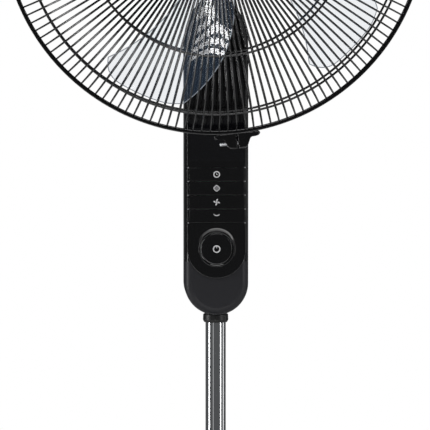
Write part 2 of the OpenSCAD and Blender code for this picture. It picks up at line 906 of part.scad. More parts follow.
module blade() {
    rows = 12;
    cols = 10;
    across = cols + 1;
    face = (rows + 1) * across;
    points = [for (side = [-1, 1], i = [0 : rows], j = [0 : cols]) blade_point(i / rows, j / cols, side)];
    quads = [for (i = [0 : rows - 1], j = [0 : cols - 1]) [i * across + j, (i + 1) * across + j,
        (i + 1) * across + j + 1, i * across + j + 1]];
    front = [for (q = quads) each [[q[0], q[1], q[2]], [q[0], q[2], q[3]]]];
    rear = [for (f = front) [f[0] + face, f[2] + face, f[1] + face]];
    rim = concat([for (j = [0 : cols]) j], [for (i = [1 : rows]) i * across + cols],
        [for (j = [cols - 1 : -1 : 0]) rows * across + j], [for (i = [rows - 1 : -1 : 1]) i * across]);
    sides = [for (k = [0 : len(rim) - 1])
        let (a = rim[k], b = rim[(k + 1) % len(rim)]) each [[a, b, b + face], [a, b + face, a + face]]];
    polyhedron(points, [for (f = concat(front, rear, sides)) [f[2], f[1], f[0]]]);
}

module blades() {
    y0 = blade_y - hub_l / 2;
    color("#aebccb") at_head() {
        difference() {
            rod_y(hub_r, y0, y0 + hub_l, hub_z);
            rod_y(hub_r - 3, y0 + 3, y0 + hub_l + 1, hub_z);
            rod_y(shaft_r + FIT, y0 - 1, y0 + hub_l, hub_z);
        }
        tube_y(9, shaft_r + FIT, y0, y0 + hub_l - 6, hub_z);
        for (i = [0 : blades_n - 1]) translate([0, 0, hub_z]) rotate([0, i * 360 / blades_n, 0]) blade();
    }
}

module spinner() {
    y = blade_y - hub_l / 2;
    color("#2b2b30") at_head() difference() {
        along_y(y - 16, hub_z) cylinder(r1 = 9, r2 = 17, h = 16);
        rod_y(shaft_r + FIT, y - 12 - FIT, y + 1, hub_z);
    }
}

foot_ring();
base_plate();
base_cover();
tube_socket();
base_screws();
base_collar();
lower_tube();
height_bush();
height_collar();
upper_tube();
pole_collar();
pole_clamp();
rear_shell();
front_shell();
fascia();
display_window();
display_module();
control_board();
tact_switches();
ir_receiver();
board_screws();
shell_screws();
cord_gland();
power_ring();
tilt_yoke();
tilt_bolt();
wing_screw();
timer_button();
mode_button();
speed_button();
night_button();
power_button();
neck_bracket();
swing_gear();
swing_clip();
neck_cover();
motor_bracket();
front_shield();
rear_shield();
motor_cover();
stator_core();
windings();
front_bearing();
rear_bearing();
motor_bolts();
capacitor();
swing_motor();
pinion();
rear_guard();
guard_nut();
front_guard();
front_cap();
guard_band();
clamp_nut();
guard_screw();
shaft();
rotor_core();
blades();
spinner();
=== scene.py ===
"""Looks of the pedestal fan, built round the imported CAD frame. Metres, Z up, the fan blows towards -Y."""

import json
from contextlib import contextmanager
from math import asin, copysign, cos, pi, radians, sin, sqrt

import bmesh
import bpy
from mathutils import Matrix, Vector


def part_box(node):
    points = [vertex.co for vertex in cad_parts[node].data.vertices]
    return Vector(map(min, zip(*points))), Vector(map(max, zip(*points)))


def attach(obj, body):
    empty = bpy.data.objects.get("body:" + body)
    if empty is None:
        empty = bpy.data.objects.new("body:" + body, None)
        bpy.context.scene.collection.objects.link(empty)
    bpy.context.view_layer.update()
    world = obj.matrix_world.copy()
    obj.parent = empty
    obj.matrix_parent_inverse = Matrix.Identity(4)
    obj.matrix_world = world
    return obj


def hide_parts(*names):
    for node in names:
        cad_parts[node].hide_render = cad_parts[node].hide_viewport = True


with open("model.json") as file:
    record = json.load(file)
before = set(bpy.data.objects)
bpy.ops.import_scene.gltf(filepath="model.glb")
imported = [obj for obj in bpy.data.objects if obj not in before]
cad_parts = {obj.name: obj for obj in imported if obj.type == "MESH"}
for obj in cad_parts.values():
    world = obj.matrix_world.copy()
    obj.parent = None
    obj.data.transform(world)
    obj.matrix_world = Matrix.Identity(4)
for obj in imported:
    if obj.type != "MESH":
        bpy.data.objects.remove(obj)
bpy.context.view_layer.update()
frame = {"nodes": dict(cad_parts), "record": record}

MM = 0.001


def node_mid(node):
    low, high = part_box(node)
    return (low + high) / 2


def node_size(node):
    low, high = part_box(node)
    return high - low


def half_width(node):
    return node_size(node).x / 2


def ends(node):
    """A node's box and half its width."""
    return *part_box(node), half_width(node)


def round_turn(count):
    """The cosine and sine at each of count equal steps of a whole turn."""
    return [(cos(2 * pi * k / count), sin(2 * pi * k / count)) for k in range(count)]


def arc(turn, steps):
    """The cosine and sine at each step of an arc from 0 to turn, with both its ends."""
    return [(cos(turn * k / steps), sin(turn * k / steps)) for k in range(steps + 1)]


# ---------- Places and sizes from the frame ----------

HUB = node_mid("front_cap")  # its x and z are the rotor's axis
COLUMN_LOW, COLUMN_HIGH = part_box("front_shell")
FASCIA_LOW, FASCIA_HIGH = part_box("fascia")
COLUMN_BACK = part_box("rear_shell")[1].y
HALF_W = half_width("front_shell")
SPLIT_Y = COLUMN_HIGH.y
POWER = node_mid("power_button")
POWER_R = half_width("power_button")

BOTTOM_ROUND = 35 * MM
TOP_ROUND = 54 * MM
SHELL_T = 2.5 * MM
SLOT_HALF = half_width("tilt_yoke")
SLOT_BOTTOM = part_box("tilt_yoke")[0].z

WIRES = 150
WIRE_R = 0.82 * MM
HOOP_R = 1.2 * MM
RIM_WIRE_R = 1.5 * MM
HOOPS = (140 * MM, 202 * MM)
GUARD_R = half_width("guard_band")
RIM_R = half_width("rear_guard") - RIM_WIRE_R
RIM_Y = node_mid("guard_band").y
LUG_TURN = radians(6)
REAR_LEAN = 3.2 * MM  # how far the rear wires are shifted to the right, where the guard is deepest

ON_HUB = (HUB.x, 0, HUB.z), "Y"
ON_POWER = (0, 0, POWER.z), "Y"

SATIN_TOP = 0.7345  # the column is satin below this height and glossy above it


# ---------- Materials ----------

def new_material(name):
    mat = bpy.data.materials.new(name)
    mat.use_nodes = True
    nodes = mat.node_tree.nodes
    return mat, nodes, nodes["Principled BSDF"]


def put(node, **values):
    """Sets some of a node's inputs, or links them to an output. An underscore stands for a space in their names."""
    for name, value in values.items():
        socket = node.inputs[name.replace("_", " ")]
        if isinstance(value, bpy.types.NodeSocket):
            node.id_data.links.new(value, socket)
        else:
            socket.default_value = value
    return node


def feed(node, first, *outputs):
    """Links outputs to a node's inputs, from the input of number first on."""
    for k, output in enumerate(outputs, first):
        node.id_data.links.new(output, node.inputs[k])


def add_node(nodes, kind, **values):
    return put(nodes.new("ShaderNode" + kind), **values)


def mix_shaders(nodes, fac, first, second):
    mix = add_node(nodes, "MixShader", Fac=fac)
    feed(mix, 1, first, second)
    return mix.outputs["Shader"]


def mapped(nodes, **values):
    """A point's place in the object's own metres, turned or stretched."""
    place = add_node(nodes, "TexCoord").outputs["Object"]
    return add_node(nodes, "Mapping", Vector=place, **values).outputs["Vector"]


def noise(nodes, scale, detail=4.0, stretch=(1, 1, 1)):
    place = mapped(nodes, Scale=stretch)
    return add_node(nodes, "TexNoise", Vector=place, Scale=scale, Detail=detail).outputs["Fac"]


def spread(nodes, value, low, high, before=(0.3, 0.7)):
    """The value, moved from one range into low to high. A noise lies mostly between 0.3 and 0.7."""
    return add_node(nodes, "MapRange", Value=value, From_Min=before[0], From_Max=before[1], To_Min=low,
                    To_Max=high).outputs["Result"]


def bump(nodes, shader, height, distance):
    put(shader, Normal=add_node(nodes, "Bump", Height=height, Distance=distance, Strength=1.0).outputs["Normal"])


def tint(nodes, shader, fac, dark, light):
    """Base colour between two colours by a value of 0 to 1."""
    mix = nodes.new("ShaderNodeMix")
    mix.data_type = "RGBA"
    put(mix, Factor=fac, A=(*dark, 1), B=(*light, 1))
    put(shader, Base_Color=mix.outputs["Result"])


def scaled(colour, k):
    return tuple(min(c * k, 1.0) for c in colour)


def plastic(name, colour, rough, grain, depth, coat=0.0, spread_by=0.06):
    """Moulded plastic: fine grain, slow patches in its roughness and colour."""
    mat, nodes, shader = new_material(name)
    slow = noise(nodes, 18, 3)
    put(shader, Roughness=spread(nodes, slow, rough - spread_by, rough + spread_by), Coat_Weight=coat,
        Coat_Roughness=0.03)
    tint(nodes, shader, slow, scaled(colour, 0.85), scaled(colour, 1.15))
    bump(nodes, shader, noise(nodes, grain), depth)
    return mat


def metal(name, colour, rough, stretch=(1, 1, 1), grain=900, depth=0.00001, spread_by=0.06):
    """Metal with a grain that may be drawn out along an axis."""
    mat, nodes, shader = new_material(name)
    fine = noise(nodes, grain, 5, stretch)
    put(shader, Metallic=1.0, Roughness=spread(nodes, fine, rough - spread_by, rough + spread_by))
    tint(nodes, shader, noise(nodes, 12, 3), scaled(colour, 0.9), scaled(colour, 1.05))
    bump(nodes, shader, fine, depth)
    return mat


def chrome(name, colour, rough):
    """Polished plate: its only texture is a slow change in its roughness and colour."""
    mat, nodes, shader = new_material(name)
    slow = noise(nodes, 6, 2)
    put(shader, Metallic=1.0, Roughness=spread(nodes, slow, rough * 0.8, rough * 1.2))
    tint(nodes, shader, slow, scaled(colour, 0.97), scaled(colour, 1.02))
    return mat


def banded(name, colour, gap_colour, rough, pitch, direction, metallic, depth):
    """Fine parallel bands: laminations of a core or turns of a winding."""
    mat, nodes, shader = new_material(name)
    place = add_node(nodes, "TexCoord").outputs["Object"]
    wave = add_node(nodes, "TexWave", Vector=place, Scale=0.314 / pitch, Distortion=0.6, Detail_Scale=2.0)
    wave.bands_direction = direction
    tint(nodes, shader, wave.outputs["Fac"], gap_colour, colour)
    put(shader, Metallic=metallic, Roughness=spread(nodes, noise(nodes, 300), rough - 0.05, rough + 0.05))
    bump(nodes, shader, wave.outputs["Fac"], depth)
    return mat


def board_material():
    """Green solder mask with paler tracks under it."""
    mat, nodes, shader = new_material("circuit_board")
    tracks = add_node(nodes, "TexBrick", Vector=mapped(nodes, Rotation=(radians(90), 0, 0)), Scale=120,
                      Mortar_Size=0.03, Color1=(0.008, 0.075, 0.035, 1), Color2=(0.012, 0.095, 0.045, 1),
                      Mortar=(0.05, 0.24, 0.1, 1))
    put(shader, Base_Color=tracks.outputs["Color"], Roughness=spread(nodes, noise(nodes, 200), 0.3, 0.42))
    bump(nodes, shader, tracks.outputs["Fac"], 0.00004)
    return mat


def shell_material():
    """Satin dark grey moulding, whose upper part is as dark and glossy as the panel."""
    mat, nodes, shader = new_material("grey_shell")
    place = add_node(nodes, "TexCoord").outputs["Object"]
    height = add_node(nodes, "SeparateXYZ", Vector=place).outputs["Z"]
    upper = spread(nodes, height, 0, 1, (SATIN_TOP - 0.4 * MM, SATIN_TOP + 0.4 * MM))
    tint(nodes, shader, upper, (0.0125, 0.0125, 0.0155), (0.003, 0.003, 0.0034))
    put(shader, Roughness=spread(nodes, upper, 0.42, 0.16, (0, 1)), Specular_IOR_Level=0.35)
    bump(nodes, shader, noise(nodes, 3000), 0.00002)
    return mat


def clear_blade_material():
    """Clear moulded plastic: lets most of the view through, scatters a little blue, and mirrors softly."""
    mat, nodes, body = new_material("clear_blade")
    slow = noise(nodes, 9, 2)
    tint(nodes, body, slow, (0.17, 0.28, 0.46), (0.22, 0.35, 0.56))
    put(body, Roughness=0.5, Specular_IOR_Level=0.0)
    through = add_node(nodes, "BsdfTransparent", Color=(0.99, 0.995, 1, 1))
    inside = mix_shaders(nodes, 0.055, through.outputs["BSDF"], body.outputs["BSDF"])
    mirror = add_node(nodes, "BsdfGlossy", Roughness=spread(nodes, slow, 0.03, 0.045))
    bump(nodes, mirror, noise(nodes, 30, 1), 0.000002)
    outside = nodes.new("ShaderNodeMath")  # only the outer faces mirror
    outside.operation = "SUBTRACT"
    outside.use_clamp = True
    feed(outside, 0, add_node(nodes, "Fresnel", IOR=1.5).outputs["Fac"],
         add_node(nodes, "NewGeometry").outputs["Backfacing"])
    surface = mix_shaders(nodes, outside.outputs["Value"], inside, mirror.outputs["BSDF"])
    put(nodes["Material Output"], Surface=surface)
    return mat


PLASTICS = {
    "black_plastic": ((0.006, 0.006, 0.0065), 0.38, 2200, 0.00003),
    "base_paint": ((0.012, 0.012, 0.013), 0.36, 900, 0.00004),
    "rubber_black": ((0.018, 0.018, 0.018), 0.78, 1500, 0.0001),
    "weight_steel": ((0.06, 0.06, 0.065), 0.6, 600, 0.00008),
    "bush_nylon": ((0.72, 0.71, 0.66), 0.45, 1200, 0.00003),
    "piano_black": ((0.0025, 0.0025, 0.0028), 0.06, 40, 0.000001, 0.6, 0.02),
    "smoked_window": ((0.003, 0.003, 0.004), 0.05, 30, 0.000001, 0.6, 0.02),
    "ring_grey": ((0.004, 0.004, 0.0045), 0.14, 60, 0.000001, 0.3, 0.03),
    "inner_plastic": ((0.02, 0.02, 0.022), 0.5, 1500, 0.00004),
    "neck_black": ((0.012, 0.012, 0.013), 0.34, 700, 0.00005),
    "white_plastic": ((0.7, 0.69, 0.66), 0.4, 900, 0.00003),
    "guard_wire": ((0.002, 0.002, 0.0022), 0.1, 300, 0.00001, 0.5, 0.03),
    "spinner_grey": ((0.01, 0.01, 0.011), 0.2, 400, 0.00002, 0.3),
    # Pale blue-grey of the blades' rim tubes: a painted highlight.
    "blade_edge": ((0.42, 0.46, 0.52), 0.25, 300, 0.00001, 0.5),
    "icon_ink": ((0.78, 0.78, 0.79), 0.5, 1500, 0.00001),
    "icon_grey": ((0.2, 0.2, 0.205), 0.5, 1500, 0.00001),
    # Light grey of the seam dots: a painted glint.
    "seam_grey": ((0.3, 0.3, 0.31), 0.3, 1500, 0.00001),
}
METALS = {
    "zinc_steel": ((0.62, 0.63, 0.65), 0.3),
    "cast_grey": ((0.5, 0.51, 0.53), 0.48, (1, 1, 1), 1400, 0.00012),
    "swing_case": ((0.58, 0.59, 0.6), 0.34, (1, 1, 8)),
    "black_zinc": ((0.03, 0.03, 0.032), 0.35),
}
BANDED = {
    "core_steel": ((0.34, 0.35, 0.36), (0.08, 0.08, 0.085), 0.42, 0.001, "Y", 0.85, 0.00012),
    "copper_wire": ((0.58, 0.2, 0.07), (0.14, 0.035, 0.01), 0.3, 0.0009, "Y", 0.8, 0.0003),
}
MATERIALS = {
    "chrome_tube": chrome("chrome_tube", (0.86, 0.87, 0.88), 0.04),
    "grey_shell": shell_material(),
    "board_green": board_material(),
    "blade_clear": clear_blade_material(),
}
for make, table in ((plastic, PLASTICS), (metal, METALS), (banded, BANDED)):
    for material, values in table.items():
        MATERIALS[material] = make(material, *values)
SLOT_OF = {part["node"]: part["material_slot"] for part in frame["record"]["subparts"]}
BODY_OF = {node: body for body, nodes in frame["record"]["behaviour"]["bodies"].items() for node in nodes}


# ---------- Mesh helpers ----------

def new_object(name, data):
    piece = bpy.data.objects.new(name, data)
    bpy.context.scene.collection.objects.link(piece)
    return piece


@contextmanager
def editing(mesh):
    """Opens a mesh for bmesh and writes it back."""
    work = bmesh.new()
    work.from_mesh(mesh)
    yield work
    work.to_mesh(mesh)
    work.free()


def add_mesh(name, verts, faces, slot, sharp=35):
    """A smooth mesh object in the row frame with its own material."""
    mesh = bpy.data.meshes.new(name)
    mesh.from_pydata([tuple(v) for v in verts], [], faces)
    with editing(mesh) as work:
        bmesh.ops.remove_doubles(work, verts=work.verts, dist=1e-7)
        bmesh.ops.recalc_face_normals(work, faces=work.faces)
    mesh.shade_smooth()
    mesh.set_sharp_from_angle(angle=radians(sharp))
    piece = new_object(name, mesh)
    mesh.materials.append(MATERIALS[slot])
    return piece


def stands_for(piece, node):
    """The piece rides with a CAD node's body and is shown in its place."""
    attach(piece, BODY_OF[node])
    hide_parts(node)
    return piece


def goes_with(piece, node, record_slot=None):
    """The piece is an extra that rides with a CAD node's body."""
    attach(piece, BODY_OF[node])
    record_slot or SLOT_OF[node]
    return piece


def from_mm(r, h, *points):
    """Points of a profile, each in millimetres from a base. A third number is the point's own rounding."""
    return [(r + x * MM, h + y * MM, *(own * MM for own in rest)) for x, y, *rest in points]


def rounded(points, radius, steps=4):
    """The corners of an open or closed profile of 2-D points, each as a short arc. A point may hold its own radius."""
    out = []
    last = len(points) - 1
    for i, point in enumerate(points):
        here = Vector(point[:2])
        r = point[2] if len(point) > 2 else radius
        if i in (0, last) or r <= 0:
            out.append(here)
            continue
        before = Vector(points[i - 1][:2]) - here
        after = Vector(points[i + 1][:2]) - here
        reach = min(r, before.length * 0.48, after.length * 0.48)
        a, b = here + before.normalized() * reach, here + after.normalized() * reach
        for k in range(steps + 1):
            t = k / steps
            out.append(a * (1 - t) ** 2 + here * 2 * t * (1 - t) + b * t ** 2)
    return out


def tile(faces, rings, count, start=0, loop=True, wrap=True, skip=()):
    """Adds the faces between rings of count points each. loop joins the last ring to the first, and wrap joins a
    ring's last point to its first."""
    for i in range(rings if loop else rings - 1):
        a, b = start + i * count, start + (i + 1) % rings * count
        for k in range(count if wrap else count - 1):
            m = (k + 1) % count
            if k not in skip:
                faces.append((a + k, a + m, b + m, b + k))


def lathe(name, profile, slot, place, axis="Z", segments=96, sharp=35):
    """Turns a closed profile of (radius, height) about an axis through place. The Y axis has height along +Y."""
    verts, faces = [], []
    count = len(profile)
    for c, s in round_turn(segments):
        for r, h in profile:
            point = (r * c, r * s, h) if axis == "Z" else (r * c, h, r * s)
            verts.append(Vector(place) + Vector(point))
    on_axis = [k for k in range(count) if profile[k][0] < 1e-9 and profile[(k + 1) % count][0] < 1e-9]
    tile(faces, segments, count, skip=on_axis)
    piece = add_mesh(name, verts, faces, slot, sharp)
    with editing(piece.data) as work:
        bmesh.ops.dissolve_degenerate(work, edges=work.edges, dist=1e-7)
        bmesh.ops.recalc_face_normals(work, faces=work.faces)
    piece.data.set_sharp_from_angle(angle=radians(sharp))
    return piece


def turned(node, name, profile, soft, slot, segments, place=(0, 0, 0), axis="Z"):
    """A turned piece with softened corners that stands for a node."""
    stands_for(lathe(name, rounded(profile, soft), slot, place, axis, segments), node)


def loft(name, rings, slot, sharp=35):
    """A closed solid through rings of the same number of 3-D points, capped at both ends."""
    verts = [p for ring in rings for p in ring]
    n = len(rings[0])
    faces = []
    tile(faces, len(rings), n, loop=False)
    faces.append(tuple(range(n)))
    faces.append(tuple((len(rings) - 1) * n + k for k in reversed(range(n))))
    return add_mesh(name, verts, faces, slot, sharp)


def box_mesh(name, low, high, slot, bevel=0.0, segments=3):
    xs, ys, zs = zip(low, high)
    verts = [(x, y, z) for x in xs for y in ys for z in zs]
    faces = [(0, 1, 3, 2), (4, 6, 7, 5), (0, 4, 5, 1), (2, 3, 7, 6), (0, 2, 6, 4), (1, 5, 7, 3)]
    piece = add_mesh(name, verts, faces, slot, 35)
    if bevel:
        with editing(piece.data) as work:
            bmesh.ops.bevel(work, geom=work.edges[:], offset=bevel, segments=segments, profile=0.5, affect="EDGES")
        piece.data.shade_smooth()
        piece.data.set_sharp_from_angle(angle=radians(50))
    return flat_faces(piece)


def flat_faces(piece):
    """Keeps large flat faces flat beside their small rounded edges."""
    modifier = piece.modifiers.new("flat_faces", "WEIGHTED_NORMAL")
    modifier.keep_sharp = True
    modifier.weight = 80
    return piece


def cut(piece, *cutters):
    """Takes the cutters out of the piece and deletes them."""
    for cutter in cutters:
        modifier = piece.modifiers.new("cut", "BOOLEAN")
        modifier.operation = "DIFFERENCE"
        modifier.solver = "EXACT"
        modifier.object = cutter
    shape = bpy.data.meshes.new_from_object(piece.evaluated_get(bpy.context.evaluated_depsgraph_get()))
    piece.modifiers.clear()
    piece.data = shape
    piece.data.set_sharp_from_angle(angle=radians(35))
    for cutter in cutters:
        bpy.data.objects.remove(cutter)
    return flat_faces(piece)


def join(name, *parts):
    """One object from several."""
    with bpy.context.temp_override(active_object=parts[0], selected_editable_objects=list(parts),
                                   selected_objects=list(parts)):
        bpy.ops.object.join()
    parts[0].name = name
    parts[0].data.name = name
    return parts[0]


def sweep(verts, faces, path, side, radius, sides=8):
    """Adds a round tube along a path that lies in one plane. side is that plane's normal."""
    start = len(verts)
    last = len(path) - 1
    for i, point in enumerate(path):
        along = (path[min(i + 1, last)] - path[max(i - 1, 0)]).normalized()
        up = along.cross(side)
        for c, s in round_turn(sides):
            verts.append(point + side * (radius * c) + up * (radius * s))
    tile(faces, len(path), sides, start, loop=False)
    faces.append(tuple(start + k for k in range(sides)))
    faces.append(tuple(start + last * sides + k for k in reversed(range(sides))))


# ---------- Guard ----------

def bend_radius(depth, flat_r):
    return ((RIM_R - flat_r) ** 2 + depth ** 2) / (2 * depth)


def guard_depth(r, depth, flat_r):
    """Depth of a wire's middle at a radius, from the rim's plane."""
    if r <= flat_r:
        return depth
    bend_r = bend_radius(depth, flat_r)
    return depth - bend_r + sqrt(max(bend_r ** 2 - (r - flat_r) ** 2, 0))


def wire_profile(depth, flat_r, inner_r, flat_steps=4, bend_steps=12):
    """A wire's middle line as (radius, depth), from the centre out to the rim."""
    points = [(inner_r + (flat_r - inner_r) * k / flat_steps, depth) for k in range(flat_steps)]
    bend_r = bend_radius(depth, flat_r)
    full = asin((RIM_R - flat_r) / bend_r)
    return points + [(flat_r + bend_r * s, depth - bend_r + bend_r * c) for c, s in arc(full, bend_steps)]


def radial(angle, r, y):
    """A point at an angle from straight down, positive towards +X."""
    return Vector((HUB.x + r * sin(angle), y, HUB.z - r * cos(angle)))


def hoop(verts, faces, r, y, wire, around=288, sides=10):
    start = len(verts)
    for i in range(around):
        a = 2 * pi * i / around
        for c, s in round_turn(sides):
            verts.append(radial(a, r + wire * c, y + wire * s))
    tile(faces, around, sides, start)


def guard_half(name, rim_y, outward, depth, flat_r, inner_r, lean=None):
    """One half of the guard. outward is -1 for the front half and 1 for the rear. lean gives a wire's sideways
    shift at a radius."""
    verts, faces = [], []
    profile = wire_profile(depth, flat_r, inner_r)
    for i in range(WIRES):
        angle = 2 * pi * (i + 0.5) / WIRES
        side = Vector((cos(angle), 0, sin(angle)))
        path = [radial(angle, r, rim_y + outward * d) + Vector((lean(r) if lean else 0, 0, 0)) for r, d in profile]
        sweep(verts, faces, path, side, WIRE_R)
    for r in (inner_r, *HOOPS):
        inside = guard_depth(r, depth, flat_r) - WIRE_R - HOOP_R * 0.6
        hoop(verts, faces, r, rim_y + outward * inside, HOOP_R)
    hoop(verts, faces, RIM_R, rim_y, RIM_WIRE_R)
    return add_mesh(name, verts, faces, "guard_wire", 60)


FRONT_FLAT_R, REAR_FLAT_R = 138 * MM, 154 * MM  # where the wires start to bend back to the rim
GUARD_BORE = 18.05 * MM  # a close fit on the motor's neck
PLATE_R = 52 * MM


def make_guard():
    front_low, front_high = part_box("front_guard")
    front_rim_y = front_high.y - RIM_WIRE_R
    front_depth = front_rim_y - front_low.y - WIRE_R
    cap_r = half_width("front_cap")
    front = guard_half("front_guard_wires", front_rim_y, -1, front_depth, FRONT_FLAT_R, cap_r)
    stands_for(front, "front_guard")

    rear_low, rear_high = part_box("rear_guard")
    rear_rim_y = rear_low.y + RIM_WIRE_R
    rear_depth = rear_high.y - rear_rim_y - WIRE_R

    def lean(r):
        r = min(r, RIM_R)
        apart = guard_depth(r, front_depth, FRONT_FLAT_R) + guard_depth(r, rear_depth, REAR_FLAT_R)
        return REAR_LEAN * apart / (front_depth + rear_depth)
    rear = guard_half("rear_guard_wires", rear_rim_y, 1, rear_depth, REAR_FLAT_R, PLATE_R - 7 * MM, lean)
    stands_for(rear, "rear_guard")
    back = rear_high.y - WIRE_R
    dish = from_mm(GUARD_BORE, back, (0, 1.4), (0, -0.6)) + from_mm(0, back, (30, -0.6), (33, -3), (45, -3), (48, -1.2))
    dish += from_mm(PLATE_R, back, (0, -1.2), (0, 0.2)) + from_mm(0, back, (47, 0.2), (44, -1.6), (34, -1.6), (31, 1.4))
    goes_with(lathe("rear_guard_plate", rounded(dish, 0.8 * MM), "guard_wire", *ON_HUB), "rear_guard")


make_guard()


# ---------- Rim band and its clamp ----------

SCREW_R = GUARD_R + 10 * MM
SEAT = 8 * MM  # how far the bottoms of the lugs' pockets are from the split
BORE_R = 2.08 * MM


def lug_point(x, y, z):
    """A point of the clamp, in a frame turned about the hub's axis. z is measured from the hub."""
    turn = Matrix.Rotation(-LUG_TURN, 4, "Y")
    return Vector((HUB.x, RIM_Y, HUB.z)) + turn @ Vector((x, y, z))


def make_band():
    half = node_size("guard_band").y / 2
    wall, lip = 1.5 * MM, 2.6 * MM
    profile = [(GUARD_R - lip, -half), (GUARD_R, -half), (GUARD_R, half), (GUARD_R - lip, half),
               (GUARD_R - lip, half - wall), (GUARD_R - wall, half - wall),
               (GUARD_R - wall, wall - half), (GUARD_R - lip, wall - half)]
    turned("guard_band", "guard_band_ring", profile, 0.9 * MM, "guard_wire", 360, (HUB.x, RIM_Y, HUB.z), "Y")
    middle = Vector((9 * MM, -GUARD_R - 6 * MM))
    for side, word in ((-1, "left"), (1, "right")):
        outline = rounded(from_mm(0, -GUARD_R, (0.4, 1), (24, 0.8), (25, -1.5), (23, -3.9), (14.5, -4.6, 2.5),
                                  (10.6, -13.4), (8.2, -15.8), (0.4, -15.9)), 1.4 * MM)
        rings = []
        edge = [(1.8 * MM * (1 - s) - half, 0.16 * (1 - c)) for c, s in reversed(arc(pi / 2, 5))]
        for y, inset in edge + [(-y, inset) for y, inset in reversed(edge)]:
            rings.append([lug_point(side * (p.x + (middle.x - p.x) * inset), y, p.y + (middle.y - p.y) * inset)
                          for p in outline])
        lug = loft("clamp_lug_" + word, rings, "guard_wire", 30)
        dimple = lathe("dimple", [(0, -half - MM), (1.5 * MM, -half - MM), (1.5 * MM, MM - half), (0, MM - half)],
                       "guard_wire", lug_point(0, 0, -SCREW_R), "Y", 24)
        far = 30 * MM
        bore = turned_x("bore", [(0, -far), (BORE_R, -far), (BORE_R, far), (0, far)], "guard_wire")
        pocket_r, corners = ((3.8 * MM, 32), (3.85 * MM, 6))[side < 0]
        pocket = turned_x("pocket", [(0, side * far), (pocket_r, side * far), (pocket_r, side * SEAT),
                                     (0, side * SEAT)], "guard_wire", corners)
        cut(lug, dimple, bore, pocket)
        goes_with(lug, "guard_band")


def turned_x(name, profile, slot, segments=32):
    """A turned solid along the clamp's screw. profile is (radius, distance along local +X)."""
    verts, faces = [], []
    for c, s in round_turn(segments):
        verts += [lug_point(h, r * c, r * s - SCREW_R) for r, h in profile]
    tile(faces, segments, len(profile), wrap=False)
    return add_mesh(name, verts, faces, slot, 30)


def make_clamp_screw():
    """The screw's head lies in the right lug's pocket and its end stands out of the nut in the left lug."""
    end = -19 * MM
    shank, crest = 1.75 * MM, 2.0 * MM
    profile = [(0, end), (1.4 * MM, end)]
    x = end + 0.4 * MM
    while x < -SEAT:
        profile += [(shank, x), (crest, x + 0.3 * MM), (shank, x + 0.6 * MM)]
        x += 0.7 * MM
    profile += [(shank, SEAT + MM), (0, SEAT + MM)]
    stands_for(turned_x("clamp_screw_shank", profile, "zinc_steel"), "guard_screw")
    head = from_mm(0, SEAT, (0, 0.3), (3.3, 0.3), (3.5, 0.5), (3.4, 1.9), (2.7, 2.7), (1.5, 2.88), (0, 2.9))
    screw = turned_x("clamp_screw_head", head, "black_zinc")
    cross = []
    for wide, deep in ((2.0 * MM, 0.4 * MM), (0.4 * MM, 2.0 * MM)):
        slot = box_mesh("cross", (SEAT + 1.7 * MM, -wide, -deep), (SEAT + 9 * MM, wide, deep), "zinc_steel")
        for vertex in slot.data.vertices:
            vertex.co = lug_point(vertex.co.x, vertex.co.y, vertex.co.z - SCREW_R)
        cross.append(slot)
    cut(screw, *cross)
    goes_with(screw, "guard_screw")
    nut_r, inner, outer = 3.8 * MM, -SEAT - 0.05 * MM, -SEAT - 3.2 * MM
    nut = turned_x("clamp_nut_body", [(BORE_R, outer), (nut_r - 0.5 * MM, outer), (nut_r, outer + 0.5 * MM),
                                      (nut_r, inner), (BORE_R, inner), (BORE_R, outer)], "zinc_steel", 6)
    stands_for(nut, "clamp_nut")


make_band()
make_clamp_screw()


# ---------- Blades and hub ----------

HUB_R = 40 * MM
TIP_R = 198 * MM
ROOT_R = HUB_R - 1.4 * MM
BLADE_Y = node_mid("blades").y


def lead_angle(r):
    """Where a blade's leading edge is at a radius, in degrees."""
    return -19 - 19 * (max(r - HUB_R, 0) / (142 * MM)) ** 1.3


def trail_angle(r):
    """Where its trailing edge is."""
    return 17 - 27.5 * (max(r - HUB_R, 0) / (156 * MM)) ** 1.7


def blade_end(s):
    """A blade's length, less at both its outer corners. s goes from the leading edge to the trailing edge."""
    return TIP_R - 16 * MM * (max(0.35 - s, 0) / 0.35) ** 2 - 4 * MM * (max(s - 0.8, 0) / 0.2) ** 2


def blade_point(t, s, side, turn):
    """A point of a blade: t goes from root to tip, s from the leading edge to the trailing edge."""
    r = ROOT_R + t * (blade_end(s) - ROOT_R)
    a = radians(lead_angle(r) + s * (trail_angle(r) - lead_angle(r))) + turn
    depth = 28 * MM + 8 * MM * (r - HUB_R) / (TIP_R - HUB_R)
    thick = 1.8 * MM * (0.3 + 0.7 * sin(pi * (0.08 + 0.84 * s))) / 2
    y = BLADE_Y + depth * (0.5 - s) + 4 * MM * sin(pi * s) + side * thick
    return radial(a, r, y)


